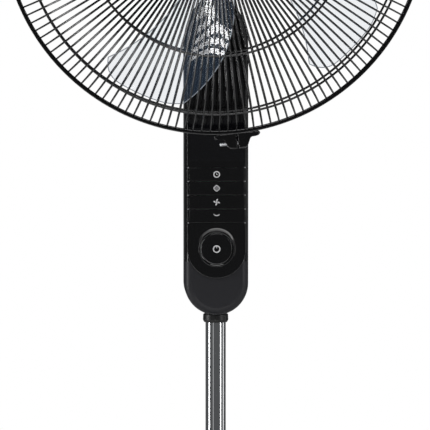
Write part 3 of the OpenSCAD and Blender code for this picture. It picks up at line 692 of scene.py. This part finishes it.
def make_blades():
    rows, cols = 44, 26
    for blade in range(5):
        turn = -2 * pi * blade / 5
        verts, faces = [], []
        for side in (-1, 1):
            for i in range(rows + 1):
                for j in range(cols + 1):
                    verts.append(blade_point(i / rows, j / cols, side, turn))
        across, face = cols + 1, (rows + 1) * (cols + 1)
        for i in range(rows):
            for j in range(cols):
                a = i * across + j
                faces.append((a, a + across, a + across + 1, a + 1))
                faces.append((a + face, a + 1 + face, a + across + 1 + face, a + across + face))
        rim = list(range(across)) + [i * across + cols for i in range(1, rows + 1)]
        rim += [rows * across + j for j in range(cols - 1, -1, -1)] + [i * across for i in range(rows - 1, 0, -1)]
        for k, a in enumerate(rim):
            b = rim[(k + 1) % len(rim)]
            faces.append((a, b, b + face, a + face))
        piece = add_mesh("blade_%d" % blade, verts, faces, "blade_clear", 60)
        (goes_with if blade else stands_for)(piece, "blades")
        # Each blade's rim is a thin tube in pale blue-grey. The rounded edge is real, and its pale colour is a painted
        # highlight for the light that the clear edge catches.
        edge = [blade_point(i / rows, 1, 0, turn) for i in range(rows + 1)]
        edge += [blade_point(1, j / cols, 0, turn) for j in range(cols - 1, -1, -1)]
        edge += [blade_point(i / rows, 0, 0, turn) for i in range(rows - 1, -1, -1)]
        verts, faces = [], []
        sweep(verts, faces, edge, Vector((0, 1, 0)), 0.5 * MM)
        goes_with(add_mesh("blade_%d_edge" % blade, verts, faces, "blade_edge", 60), "blades")


def about_hub(piece, turn):
    """Turns a piece made at the origin about Y, and moves it to the hub's axis."""
    c, s = cos(turn), sin(turn)
    for vertex in piece.data.vertices:
        across, y, lift = vertex.co
        vertex.co = (HUB.x + across * c - lift * s, y, HUB.z + across * s + lift * c)
    return piece


def make_hub():
    front = BLADE_Y - 16 * MM
    back = front + 32 * MM
    bore = half_width("shaft") + 0.05 * MM
    shell = [(bore, front), *from_mm(HUB_R, front, (-3, 0, 4), (0, 4)), *from_mm(HUB_R, back, (0, 0), (-3, 0)),
             (HUB_R - 3 * MM, front + 3 * MM), (9 * MM, front + 3 * MM), (9 * MM, back - 6 * MM), (bore, back - 6 * MM)]
    goes_with(lathe("blade_hub", rounded(shell, 1.0 * MM), "blade_clear", *ON_HUB, 160), "blades")
    for k in range(10):
        rib = box_mesh("hub_rib_%d" % k, (8.8 * MM, front + 2.5 * MM, -0.9 * MM), (37.2 * MM, back - 12 * MM, 0.9 * MM),
                       "blade_clear", 0.3 * MM)
        goes_with(about_hub(rib, 2 * pi * k / 10), "blades")
    low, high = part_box("spinner")
    nose, seat = low.y, high.y
    body = rounded(from_mm(0, nose, (0, 0), (7, 0, 2), (9.4, 2)) + from_mm(0, seat, (11, -3), (16.6, -2.4), (17, 0))
                   + [(bore, seat), (bore, nose + 4 * MM), (0, nose + 4 * MM)], 0.8 * MM)
    parts = [lathe("spinner_body", body, "spinner_grey", *ON_HUB, 96)]
    for k in range(12):
        rib = box_mesh("grip", (8.6 * MM, nose + 2.5 * MM, -0.7 * MM), (12.4 * MM, seat - 2.6 * MM, 0.7 * MM),
                       "spinner_grey", 0.4 * MM)
        parts.append(about_hub(rib, 2 * pi * k / 12))
    stands_for(join("spinner_knob", *parts), "spinner")


make_blades()
make_hub()


# ---------- Column ----------

def capsule(half, top_z, top_r, bottom_z, bottom_r):
    """An outline in X and Z with two round ends, counter-clockwise from its right side."""
    return ([(half * c, top_z + top_r * s) for c, s in arc(pi, 48)]
            + [(-half * c, bottom_z - bottom_r * s) for c, s in arc(pi, 48)])


def oval(inset):
    """The column's outline, moved inwards by inset."""
    return capsule(HALF_W - inset, COLUMN_HIGH.z - TOP_ROUND, TOP_ROUND - inset,
                   COLUMN_LOW.z + BOTTOM_ROUND, BOTTOM_ROUND - inset)


def ringed(outline, y):
    return [Vector((x, y, z)) for x, z in outline]


def shell_half(name, y_open, y_face, edge):
    """A hollow half of the column whose outer edge is rounded. y_face is the closed side."""
    way = 1 if y_face > y_open else -1

    def bent(wall, r):
        """Rings round the closed side's edge, a wall's thickness inside the outer face."""
        return [ringed(oval(wall + r * (1 - c)), y_face - way * (wall + r * (1 - s))) for c, s in arc(pi / 2, 8)]
    outer = [ringed(oval(0.35 * MM), y_open), ringed(oval(0.0), y_open + way * 0.35 * MM), *bent(0, edge)]
    inner = [ringed(oval(SHELL_T), y_open - way * MM), *bent(SHELL_T, edge - SHELL_T)]
    body = loft(name, outer, "grey_shell")
    return cut(body, loft("hollow", inner, "grey_shell"))


def cutter_box(low, high):
    return box_mesh("cutter", low, high, "inner_plastic")


def cutter_rod(x, z, r, y0, y1):
    return lathe("cutter", [(0, y0), (r, y0), (r, y1), (0, y1)], "inner_plastic", (x, 0, z), "Y", 64)


def cutter_pole(r, z0, z1):
    return lathe("cutter", [(0, z0), (r, z0), (r, z1), (0, z1)], "inner_plastic", (0, 0, 0), "Z", 64)


def neck_slot():
    """The gap at the top of the column for the neck."""
    return cutter_box((-SLOT_HALF - 0.02 * MM, -17 * MM, SLOT_BOTTOM), (SLOT_HALF + 0.02 * MM, 40 * MM, OVER))


BUTTONS = ("night_button", "speed_button", "mode_button", "timer_button")
BUTTON_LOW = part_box("night_button")[0]
BUTTON_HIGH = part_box("timer_button")[1]
BUTTON_GAP = 0.3 * MM
FACE_Y = FASCIA_LOW.y
WINDOW_LOW, WINDOW_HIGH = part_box("display_window")
WING = node_mid("wing_screw")
GLAND = node_mid("cord_gland")
BOSS_ZS = (0.764, 0.848, 0.955)
BOSS_X = 28 * MM
# Where the painted glint dots sit, on either side of the middle.
GLINT_DOT_X = 30.6 * MM
FASCIA_ROUND = 45 * MM
UNDER, OVER = 0.6, 1.1  # heights past both ends of the column
FRONT_CUT = (-40 * MM, -20 * MM)  # from before the column's front to inside it
BACK_CUT = (5 * MM, 40 * MM)


def button_opening():
    return cutter_box((BUTTON_LOW.x - BUTTON_GAP, FRONT_CUT[0], BUTTON_LOW.z - BUTTON_GAP),
                      (BUTTON_HIGH.x + BUTTON_GAP, FRONT_CUT[1], BUTTON_HIGH.z + BUTTON_GAP))


def window_opening():
    return cutter_box((-24 * MM, FRONT_CUT[0], WINDOW_LOW.z + 4 * MM), (24 * MM, FRONT_CUT[1], WINDOW_HIGH.z - 4 * MM))


def pole_opening():
    return cutter_pole(12.25 * MM, UNDER, COLUMN_LOW.z + 19 * MM)


def make_shells():
    front = shell_half("front_shell_body", SPLIT_Y, COLUMN_LOW.y, 9 * MM)
    cut(front, neck_slot(), button_opening(), cutter_rod(0, POWER.z, POWER_R + BUTTON_GAP, *FRONT_CUT),
        window_opening(), pole_opening())
    stands_for(front, "front_shell")
    back = shell_half("rear_shell_body", SPLIT_Y + 0.05 * MM, COLUMN_BACK, 12 * MM)
    cut(back, neck_slot(), cutter_rod(0, WING.z, 3.6 * MM, *BACK_CUT), cutter_rod(0, GLAND.z, 7.05 * MM, *BACK_CUT),
        pole_opening())
    stands_for(back, "rear_shell")
    floor_z, front_y = SLOT_BOTTOM - SHELL_T, -19.5 * MM
    outside = SLOT_HALF + SHELL_T
    walls = [box_mesh("wall", (x0, front_y, z0), (x1, y1, z1), "grey_shell") for x0, x1, y1, z0, z1 in (
        (-outside, -SLOT_HALF, COLUMN_BACK - 8 * MM, floor_z, COLUMN_HIGH.z - 8 * MM),
        (SLOT_HALF, outside, COLUMN_BACK - 8 * MM, floor_z, COLUMN_HIGH.z - 8 * MM),
        (-SLOT_HALF, SLOT_HALF, COLUMN_BACK - 3 * MM, floor_z, SLOT_BOTTOM),
        (-SLOT_HALF, SLOT_HALF, -17 * MM, SLOT_BOTTOM, COLUMN_HIGH.z - 6 * MM))]
    goes_with(join("neck_well", *walls), "rear_shell")
    for x in (-BOSS_X, BOSS_X):
        for z in BOSS_ZS:
            tube = rounded(from_mm(0, SPLIT_Y, (1.6, 0), (3.5, 0)) + from_mm(0, COLUMN_BACK, (3.5, -6), (2.9, -6))
                           + from_mm(0, 0, (2.9, 6), (1.6, 6)), 0.1 * MM, 2)
            goes_with(lathe("shell_boss_%d_%d" % (x > 0, round(z * 1000)), tube, "grey_shell", (x, 0, z), "Y", 32),
                      "rear_shell")


def fascia_outline(inset):
    half = half_width("fascia") - inset
    return capsule(half, FASCIA_HIGH.z - FASCIA_ROUND, FASCIA_ROUND - inset, POWER.z, half)


def make_fascia():
    rings = [ringed(fascia_outline(0.0), FASCIA_HIGH.y)]
    for c, s in arc(pi / 2, 5):
        rings.append(ringed(fascia_outline(0.6 * MM * (1 - c)), FACE_Y + 0.6 * MM * (1 - s)))
    panel = loft("fascia_panel", rings, "piano_black")
    ring_r = half_width("power_ring")
    dish = lathe("cutter", from_mm(0, FACE_Y, (0, -1), (24.6, -1), (24.2, 0), (20.4, 1.1))
                 + [(ring_r + 0.05 * MM, FACE_Y + 1.3 * MM), (ring_r + 0.05 * MM, 0), (0, 0)],
                 "piano_black", *ON_POWER, 128)
    cut(panel, dish, button_opening(),
        cutter_box((WINDOW_LOW.x - 0.05 * MM, -40 * MM, WINDOW_LOW.z - 0.05 * MM),
                   (WINDOW_HIGH.x + 0.05 * MM, FACE_Y + 1.25 * MM, WINDOW_HIGH.z + 0.05 * MM)),
        window_opening())
    stands_for(panel, "fascia")
    pane = box_mesh("display_pane", (WINDOW_LOW.x, FACE_Y + 0.02 * MM, WINDOW_LOW.z),
                    (WINDOW_HIGH.x, WINDOW_HIGH.y, WINDOW_HIGH.z), "smoked_window", 0.06 * MM)
    stands_for(pane, "display_window")
    seams = [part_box(name)[0].z - BUTTON_GAP for name in BUTTONS] + [BUTTON_HIGH.z + BUTTON_GAP]
    # Light grey dots at both ends of each seam: painted glints for the light that the buttons' rounded corners catch.
    glint_dots = []
    for z in seams:
        for side in (-1, 1):
            profile = rounded(from_mm(0, FACE_Y, (0, -0.15), (0.65, -0.15), (0.7, 0.1), (0, 0.1)), 0.1 * MM, 2)
            glint_dots.append(lathe("pip", profile, "seam_grey", (side * GLINT_DOT_X, 0, z), "Y", 16))
    goes_with(join("seam_pips", *glint_dots), "fascia", "ring_grey")


# ---------- Buttons ----------

def flat_shape(name, outline, y, node, slot="icon_ink", thick=0.12 * MM, hole=None, record_slot="piano_black"):
    """A thin mark in the X-Z plane, standing a little proud of the surface at y. hole is an inner outline."""
    if hole is None:
        mark = loft(name, [ringed(outline, y + 0.03 * MM), ringed(outline, y - thick)], slot, 40)
    else:
        n = len(outline)
        verts, faces = [], []
        for depth in (0.03 * MM, -thick):
            for points in (outline, hole):
                verts += ringed(points, y + depth)
        for k in range(n):
            m = (k + 1) % n
            a, b, c, d = k, n + k, 2 * n + k, 3 * n + k
            a2, b2, c2, d2 = m, n + m, 2 * n + m, 3 * n + m
            faces += [(a, a2, b2, b), (c, d, d2, c2), (a, c, c2, a2), (b, b2, d2, d)]
        mark = add_mesh(name, verts, faces, slot, 40)
    goes_with(mark, node, record_slot)
    return mark


def circle(z, r, n=40):
    return [(r * c, z + r * s) for c, s in round_turn(n)]


def squircle(z, r, power=1.35):
    """A rounded diamond."""
    out = []
    for c, s in round_turn(40):
        reach = r * (abs(c) ** power + abs(s) ** power) ** (-1 / power)
        out.append((reach * c, z + reach * s))
    return out


def make_icons():
    y = BUTTON_LOW.y
    z = node_mid("timer_button").z
    flat_shape("timer_icon_ring", circle(z, 3.6 * MM), y, "timer_button", hole=circle(z, 2.5 * MM))
    hand = from_mm(0, z, (-0.35, -0.4), (0.9, -0.4), (0.9, 0.15), (0.2, 0.2), (0.15, 1.2), (-0.35, 1.2))
    flat_shape("timer_icon_hand", hand, y, "timer_button")
    z = node_mid("mode_button").z
    flat_shape("mode_icon_edge", squircle(z, 3.6 * MM), y, "mode_button", hole=squircle(z, 2.75 * MM))
    flat_shape("mode_icon_fill", squircle(z, 2.7 * MM), y, "mode_button", "icon_grey")
    z = node_mid("speed_button").z
    for k in range(4):
        a = pi / 2 * k - 0.55
        petal = []
        for c, s in round_turn(24):
            u, v = (2.1 + 1.45 * c) * MM, (0.85 + 0.75 * s) * MM
            petal.append((u * cos(a) - v * sin(a), z + u * sin(a) + v * cos(a)))
        flat_shape("speed_icon_%d" % k, petal, y, "speed_button")
    flat_shape("speed_icon_hub", circle(z, 0.75 * MM, 20), y, "speed_button")
    z = node_mid("night_button").z
    moon = []
    for k in range(25):
        a = radians(200 + 140 * k / 24)
        moon.append((3.8 * MM * cos(a), z + 3.7 * MM + 3.8 * MM * sin(a)))
    end = moon[-1][0]
    for k in range(1, 24):
        x = end * (1 - 2 * k / 24)
        moon.append((x, z + 2.4 * MM - 1.5 * MM * (1 - (x / end) ** 2)))
    flat_shape("night_icon", moon, y, "night_button")
    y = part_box("power_button")[0].y
    z = POWER.z
    flat_shape("power_icon_ring", circle(z, 4.05 * MM), y, "power_button", hole=circle(z, 2.95 * MM))
    tick = from_mm(0, z, (-0.35, 0.9), (0.35, 0.9), (0.35, 3), (-0.35, 3))
    flat_shape("power_icon_tick", tick, y, "power_button")


def make_buttons():
    for name in BUTTONS:
        low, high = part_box(name)
        middle = (low + high) / 2
        cap = box_mesh(name + "_cap", (low.x, low.y, low.z), (high.x, FASCIA_HIGH.y + 4 * MM, high.z), "piano_black",
                       0.25 * MM)
        cut(cap, cutter_box((low.x + 2 * MM, low.y + 1.6 * MM, low.z + 1.5 * MM),
                            (high.x - 2 * MM, 0, high.z - 1.5 * MM)))
        stem = lathe("stem", rounded([(0, low.y + 1.4 * MM), (2 * MM, low.y + 1.4 * MM), (2 * MM, high.y), (0, high.y)],
                                     0.3 * MM), "piano_black", (middle.x, 0, middle.z), "Y", 32)
        stands_for(join(name + "_cap", cap, stem), name)
    low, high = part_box("power_button")
    face, back = low.y, FASCIA_HIGH.y + 4 * MM
    inside = POWER_R - 1.6 * MM
    profile = from_mm(0, face, (0, 0.35), (11, 0.22), (15.4, 0), (16.5, 0.08, 0.8))
    profile += [(POWER_R, face + 0.9 * MM), (POWER_R, back), (inside, back), (inside, face + 1.8 * MM),
                (2 * MM, face + 1.8 * MM), (2 * MM, high.y), (0, high.y)]
    turned("power_button", "power_button_cap", profile, 0.3 * MM, "piano_black", 128, *ON_POWER)
    low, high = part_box("power_ring")
    outer, inner = half_width("power_ring"), POWER_R + BUTTON_GAP
    profile = [(inner, low.y + 0.3 * MM), (inner + 0.5 * MM, low.y), (outer - 0.5 * MM, low.y),
               (outer, low.y + 0.5 * MM), (outer, high.y), (inner, high.y)]
    turned("power_ring", "power_ring_body", profile, 0.25 * MM, "ring_grey", 128, *ON_POWER)


def pole_tube(node, name, wall):
    low, high, r = ends(node)
    soft = 0.4 * MM
    profile = [(r - wall, low.z + soft), (r - wall, low.z), (r, low.z), (r, high.z), (r - wall, high.z),
               (r - wall, low.z + soft * 2)]
    turned(node, name, profile, soft, "chrome_tube", 160)


def make_poles():
    pole_tube("upper_tube", "upper_pole", 1.2 * MM)
    pole_tube("lower_tube", "lower_pole", 1.5 * MM)
    low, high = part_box("pole_collar")
    r, bore = half_width("pole_collar"), half_width("upper_tube") + 0.05 * MM
    profile = [(bore, low.z + 0.4 * MM), (bore, low.z), (r - 1.4 * MM, low.z), (r, low.z + 2.4 * MM, 0.8 * MM)]
    profile += from_mm(r, COLUMN_LOW.z, (-0.3, -0.3), (-1.6, 0)) + [(r - 1.6 * MM, high.z), (bore, high.z),
                                                                    (bore, high.z - MM)]
    turned("pole_collar", "pole_collar_ring", profile, 0.4 * MM, "black_plastic", 128)


def fluted(name, profile, slot, flutes, depth, segments, grip):
    """A turned solid about the pole whose points between two heights are fluted for grip."""
    verts, faces = [], []
    for i in range(segments):
        a = 2 * pi * i / segments
        groove = depth * max(cos(flutes * a), 0) ** 3
        for r, h in profile:
            if grip[0] <= h <= grip[1] and r > grip[2]:
                r -= groove
            verts.append((r * cos(a), r * sin(a), h))
    tile(faces, segments, len(profile))
    return add_mesh(name, verts, faces, slot, 40)


def make_height_collar():
    low, high, r = ends("height_collar")
    bore = half_width("lower_tube") + 0.08 * MM
    throat = half_width("upper_tube") + 1.6 * MM
    inner_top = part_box("height_bush")[1].z + 0.3 * MM
    body = [(bore, low.z + MM), (bore, low.z), *from_mm(r, low.z, (-0.4, 0), (0, 3), (0, 5), (0, 8)),
            *from_mm(r, high.z, (0, -13), (0, -9), (-0.3, -6, 3), (-4, 0)),
            (throat, high.z), (throat, inner_top), (bore, inner_top)]
    piece = fluted("height_collar_grip", rounded(body, 1.0 * MM), "black_plastic", 20, 1.3 * MM, 480,
                   (low.z + 4.5 * MM, high.z - 8 * MM, r - 2 * MM))
    stands_for(piece, "height_collar")


def make_base():
    low, high, r = ends("base_cover")
    sag = 26 * MM
    dome_r = (r * r + sag * sag) / (2 * sag)

    def dome(radius, inset):
        return high.z - dome_r + sqrt((dome_r - inset) ** 2 - radius ** 2)
    bore = 18.5 * MM
    edge = dome(r, 0)
    wall = 3 * MM
    steps = [(r - 6 * MM - bore) * k / 24 for k in range(25)]
    outer = [(bore + step, dome(bore + step, 0)) for step in steps]
    outer += from_mm(r, edge, (-3.2, -0.2), (-1.2, -1.6), (-0.3, -3.4), (0, -5))
    outer += from_mm(r, low.z, (0, 0.6), (-0.5, 0), (-2.6, 0), (-3, 0.4))
    inner = [(r - wall, edge - 5 * MM)] + [(r - 6 * MM - step, dome(r - 6 * MM - step, wall)) for step in steps]
    stands_for(lathe("base_dome", outer + inner, "base_paint", (0, 0, 0), "Z", 256), "base_cover")
    low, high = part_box("base_collar")
    tube_r = half_width("lower_tube") + 0.05 * MM
    socket_r, socket_top = 18.05 * MM, 60.05 * MM
    flare = [(socket_r, dome(socket_r, 0))]
    flare += from_mm(0, dome(34 * MM, 0), (33, 0), (34, 0.6), (33.4, 2.2), (30, 6.5), (27.4, 13), (25.8, 21))
    flare += from_mm(0, high.z, (24.6, -2.4), (23, -0.5), (21.4, 0))
    flare += [(tube_r, high.z), (tube_r, socket_top), (socket_r, socket_top)]
    turned("base_collar", "base_collar_flare", flare, 0.8 * MM, "black_plastic", 160)
    low, high, r = ends("foot_ring")
    pad = from_mm(r, low.z, (-14, 1), (-12.6, 0), (-9, 0), (-8, 0.9), (-6, 0.9), (-5, 0), (-1.4, 0), (0, 1))
    pad = [(r - 14 * MM, high.z), *pad, (r, high.z), (r - 13.9 * MM, high.z)]
    turned("foot_ring", "foot_pad", pad, 0.5 * MM, "rubber_black", 200)


def make_gland_and_wing():
    low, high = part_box("cord_gland")
    bore = 3.6 * MM
    seat = COLUMN_BACK
    profile = [(bore, low.y), (7 * MM, low.y), *from_mm(0, seat, (7, 0), (9, 0), (9, 0.8)),
               *from_mm(0, high.y, (8, -0.2), (7, 0)), (bore + 0.8 * MM, high.y), (bore, high.y - 0.8 * MM),
               (bore, low.y + MM)]
    turned("cord_gland", "cord_gland_sleeve", profile, 0.4 * MM, "rubber_black", 64, (0, 0, GLAND.z), "Y")
    low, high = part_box("wing_screw")
    stem = from_mm(0, low.y, (0, 0), (2.4, 0), (3, 0.8)) + from_mm(0, COLUMN_BACK + MM, (3, 0), (6.6, 0), (7, 0.6))
    stem = rounded(stem + from_mm(0, high.y, (6.6, -1.2), (5.4, 0), (0, 0)), 0.4 * MM)
    parts = [lathe("stem", stem, "black_plastic", (0, 0, WING.z), "Y", 48)]
    middle = COLUMN_BACK + 6 * MM
    turn = Matrix.Rotation(radians(48), 4, "Y")
    for side in (-1, 1):
        rings = []
        for k in range(15):
            t = k / 14
            x = side * (4 * MM + 24.4 * MM * t)
            tall = (3.4 + 1.1 * sin(pi * min(t * 0.9, 1))) * MM * sqrt(max(1 - max(t - 0.8, 0) ** 2 * 24.9, 0.02))
            thick = (2.0 - 0.5 * t) * MM * sqrt(max(1 - max(t - 0.9, 0) ** 2 * 98, 0.04))
            ring = []
            for c, s in round_turn(20):
                point = Vector((x, thick * copysign(abs(c) ** 0.7, c), tall * copysign(abs(s) ** 0.7, s)))
                ring.append(turn @ point + Vector((0, middle, WING.z)))
            rings.append(ring)
        parts.append(loft("wing", rings, "black_plastic", 50))
    stands_for(join("wing_screw_body", *parts), "wing_screw")


# ---------- Neck and motor ----------

def make_neck_cover():
    low, high, r = ends("neck_cover")
    wall = 1.6 * MM
    profile = [(r - wall, low.z + MM), (r - wall, low.z), (r, low.z)]
    ribs = 4
    for k in range(ribs):
        z = low.z + (high.z - low.z) * (k + 0.5) / ribs
        profile += [(r, z - 0.5 * MM), (r - 0.5 * MM, z), (r, z + 0.5 * MM)]
    profile += [(r, high.z), (r - wall, high.z), (r - wall, low.z + 2 * MM)]
    stands_for(lathe("neck_skirt", rounded(profile, 0.25 * MM, 2), "neck_black", (0, 0, 0), "Z", 128), "neck_cover")


def make_motor_cover():
    low, high, r = ends("motor_cover")
    wall, corner = 2.5 * MM, 34 * MM
    inside = corner - wall
    outer = from_mm(r, low.y, (-0.5, 0), (0, 0.5), (0, 14), (-0.6, 14.4), (-0.6, 15.6), (0, 16))
    outer += [(r - corner + corner * c, high.y - corner + corner * s) for c, s in arc(pi / 2, 14)]
    outer += from_mm(0, high.y, (20, 0), (19, -0.7), (17.4, -0.7), (16.4, 0), (0, 0))
    inner = [(r - wall, low.y)]
    inner += [(r - corner + inside * c, high.y - corner + inside * s) for c, s in arc(pi / 2, 14)]
    inner.append((0, high.y - wall))
    cover = lathe("motor_housing", outer + inner[::-1], "black_plastic", *ON_HUB, 192)
    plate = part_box("motor_bracket")[0].z
    top = plate + 4 * MM
    cutters = [cutter_box((HUB.x - 70 * MM, low.y - 10 * MM, plate - 50 * MM),
                          (HUB.x + 70 * MM, high.y + 10 * MM, plate)),
               cutter_pole(half_width("motor_bracket") + 0.06 * MM, plate - MM, top + 0.06 * MM),
               cutter_box((HUB.x - 24.1 * MM, low.y - MM, plate - MM), (HUB.x + 24.1 * MM, -8 * MM, top + 0.1 * MM))]
    for k in range(-3, 4):
        tall = (50 - 6 * abs(k)) / 2 * MM
        slot = box_mesh("slot", (HUB.x + (k * 12 - 2.5) * MM, high.y - 10 * MM, HUB.z - tall),
                        (HUB.x + (k * 12 + 2.5) * MM, high.y + 10 * MM, HUB.z + tall), "black_plastic", 2.2 * MM, 4)
        slot.modifiers.clear()
        cutters.append(slot)
    for side in (-1, 1):
        for k in range(6):
            turn = radians(62 + 11.2 * k) * side
            slot = box_mesh("slot", (-2 * MM, 8 * MM, -6 * MM), (2 * MM, 44 * MM, 6 * MM), "black_plastic", 1.8 * MM)
            slot.modifiers.clear()
            for vertex in slot.data.vertices:
                x, y, z = vertex.co
                vertex.co = Vector((HUB.x, y, HUB.z)) + Matrix.Rotation(turn, 4, "Y") @ Vector((x, 0, z + r))
            cutters.append(slot)
    cut(cover, *cutters)
    stands_for(cover, "motor_cover")


def make_front_cap():
    low, high, r = ends("front_cap")
    profile = from_mm(0, low.y, (0, 1.2), (20, 1.1), (22, 0.4), (24, 0.4), (26, 1.1))
    profile += from_mm(r, low.y, (-12, 0.9), (-8, 0.1, 2), (-4, 0), (-1.2, 0.8), (0, 2.4))
    profile += [(r - 0.2 * MM, high.y), (0, high.y)]
    turned("front_cap", "front_badge_disc", profile, 0.8 * MM, "piano_black", 192, *ON_HUB)


def make_guard_nut():
    low, high, r = ends("guard_nut")
    profile = [(GUARD_BORE, high.y), (GUARD_BORE, low.y), *from_mm(0, low.y, (23, 0), (24, 0.8)),
               (24.2 * MM, high.y - 3.4 * MM), *from_mm(r, high.y, (-1.2, -3), (0, -2), (0, 0)),
               (GUARD_BORE + 0.5 * MM, high.y)]
    parts = [lathe("ring", rounded(profile, 0.5 * MM), "black_plastic", *ON_HUB, 128)]
    for k in range(6):
        rib = box_mesh("rib", (23 * MM, low.y + MM, -1.8 * MM), (r - MM, high.y - 2.4 * MM, 1.8 * MM),
                       "black_plastic", 0.9 * MM)
        rib.modifiers.clear()
        parts.append(about_hub(rib, pi / 3 * k))
    stands_for(join("guard_nut_ring", *parts), "guard_nut")


make_poles()
make_height_collar()
make_base()
make_gland_and_wing()
make_neck_cover()
make_motor_cover()
make_front_cap()
make_guard_nut()
make_shells()
make_fascia()
make_buttons()
make_icons()


# ---------- Materials on the CAD nodes that stay ----------

for node_name, node_object in frame["nodes"].items():
    node_object.data.materials.clear()
    node_object.data.materials.append(MATERIALS[SLOT_OF[node_name]])


# ---------- Studio ----------

def make_world():
    """White behind the object, and a dark room with a pale back for what it reflects."""
    world = bpy.data.worlds.new("studio")
    bpy.context.scene.world = world
    world.use_nodes = True
    nodes = world.node_tree.nodes
    seen = put(nodes["Background"], Color=(1, 1, 1, 1), Strength=1.0)
    room = add_node(nodes, "Background", Color=(0.95, 0.97, 1.0, 1), Strength=0.09)
    from_camera = add_node(nodes, "LightPath").outputs["Is Camera Ray"]
    surface = mix_shaders(nodes, from_camera, room.outputs["Background"], seen.outputs["Background"])
    put(nodes["World Output"], Surface=surface)


def heading(azimuth, elevation=0.0):
    """The way to an azimuth (0 is the camera's side, positive is the viewer's right) and a height, in degrees."""
    a, e = radians(azimuth), radians(elevation)
    return Vector((sin(a) * cos(e), -cos(a) * cos(e), sin(e)))


def light_panel(name, width, tall, power):
    """A rectangular light, which the camera doesn't see."""
    light = bpy.data.lights.new(name, "AREA")
    light.shape = "RECTANGLE"
    light.size, light.size_y, light.energy = width, tall, power
    lamp = new_object(name, light)
    lamp.visible_camera = False
    return lamp


def softbox(name, azimuth, height, distance, width, tall, power, aim_z=0.8, aim_distance=0.0):
    """A panel of light at an azimuth. It faces the height aim_z, aim_distance from the pole's axis on its own side."""
    lamp = light_panel(name, width, tall, power)
    lamp.location = heading(azimuth) * distance + Vector((0, 0, height))
    aim = heading(azimuth) * aim_distance + Vector((0, 0, aim_z))
    lamp.rotation_euler = (aim - lamp.location).to_track_quat("-Z", "Y").to_euler()
    return lamp


GUARD_WIRES = ("front_guard_wires", "rear_guard_wires")
BLADES = ["blade_%d" % i for i in range(5)]


def light_group(name, pieces, state="INCLUDE"):
    """The collection that keeps a light to some pieces, or, to EXCLUDE, lets it shine past them. It is made once."""
    if name not in bpy.data.collections:
        group = bpy.data.collections.new(name)
        for piece in pieces:
            group.objects.link(bpy.data.objects[piece])
        for member in group.collection_objects:
            member.light_linking.link_state = state
    return bpy.data.collections[name]


def slat(name, start, end, tall, brightness):
    """A long thin panel of light that the lowest blade mirrors, between two directions seen from that blade. It
    shines past the guard's wires, so that the blade mirrors it whole."""
    distance = 1.9
    target = Vector((HUB.x, BLADE_Y, HUB.z - 0.1))
    first, last = (target + distance * heading(*way) for way in (start, end))
    middle = (first + last) / 2
    along = (last - first).normalized()
    away = (middle - target).normalized()
    length = (last - first).length
    lamp = light_panel(name, length, tall, brightness * length * tall)
    turn = Matrix((along, away.cross(along), away)).transposed().to_4x4()
    lamp.matrix_world = Matrix.Translation(middle) @ turn
    lamp.light_linking.receiver_collection = light_group("only the blades", BLADES)
    lamp.light_linking.blocker_collection = light_group("past the wires", GUARD_WIRES, "EXCLUDE")


def make_floor():
    radius = 3
    verts = [(radius * c, radius * s, 0) for c, s in round_turn(120)]
    mesh = bpy.data.meshes.new("floor")
    mesh.from_pydata(verts, [], [tuple(range(len(verts)))])
    floor = new_object("floor", mesh)
    mat, _, shader = new_material("floor_pale")
    put(shader, Base_Color=(0.9, 0.9, 0.9, 1), Roughness=0.7)
    mesh.materials.append(mat)


def make_camera():
    """At the hub's height and a little to the left, looking down at the column."""
    distance, view_width, sensor = 4.5, 0.456, 36
    aim = Vector((-0.0045, RIM_Y, 0.7898))
    camera = new_object("camera", bpy.data.cameras.new("camera"))
    back = heading(-2.3, 4.0)
    camera.location = aim + back * distance
    camera.rotation_euler = (-back).to_track_quat("-Z", "Y").to_euler()
    camera.data.sensor_width = sensor
    camera.data.lens = sensor * distance / view_width
    camera.data.clip_end = 100
    bpy.context.scene.camera = camera


make_world()
make_floor()
make_camera()
glint = softbox("left_glint", -70, 1.15, 2.2, 0.9, 0.9, 30, 1.1)
glint.light_linking.receiver_collection = light_group("only the wires", GUARD_WIRES)
softbox("left_strip", -78.5, 1.0, 2.2, 0.26, 2.6, 26)
softbox("right_strip", 56, 1.0, 2.4, 0.26, 2.6, 14)
softbox("far_strip", 95, 1.0, 2.4, 0.22, 2.6, 4)
softbox("front_strip", -30, 1.0, 2.4, 0.3, 2.6, 1)
for row in range(5):
    start = (-60.5, 8.7 + 1.5 * row + 0.19 * row ** 2)
    middle = (-52, 14.2 + 1.5 * row + 0.12 * row ** 2)
    end = (-43, 16.8 + 2.4 * row)
    tall = 0.031 + 0.004 * row
    slat("bright_slat_%d" % row, start, middle, tall, 80)
    slat("dim_slat_%d" % row, middle, end, tall, 28)
softbox("top_box", 2, 2.6, 1.2, 1.6, 1.2, 28)
softbox("low_box", -8, 0.12, 1.6, 1.0, 0.16, 1.5, 0.86)
softbox("floor_card", 0, 0.03, 1.45, 1.4, 1.1, 3.4, 3.0, 1.45)
bpy.context.scene.view_settings.view_transform = "Standard"
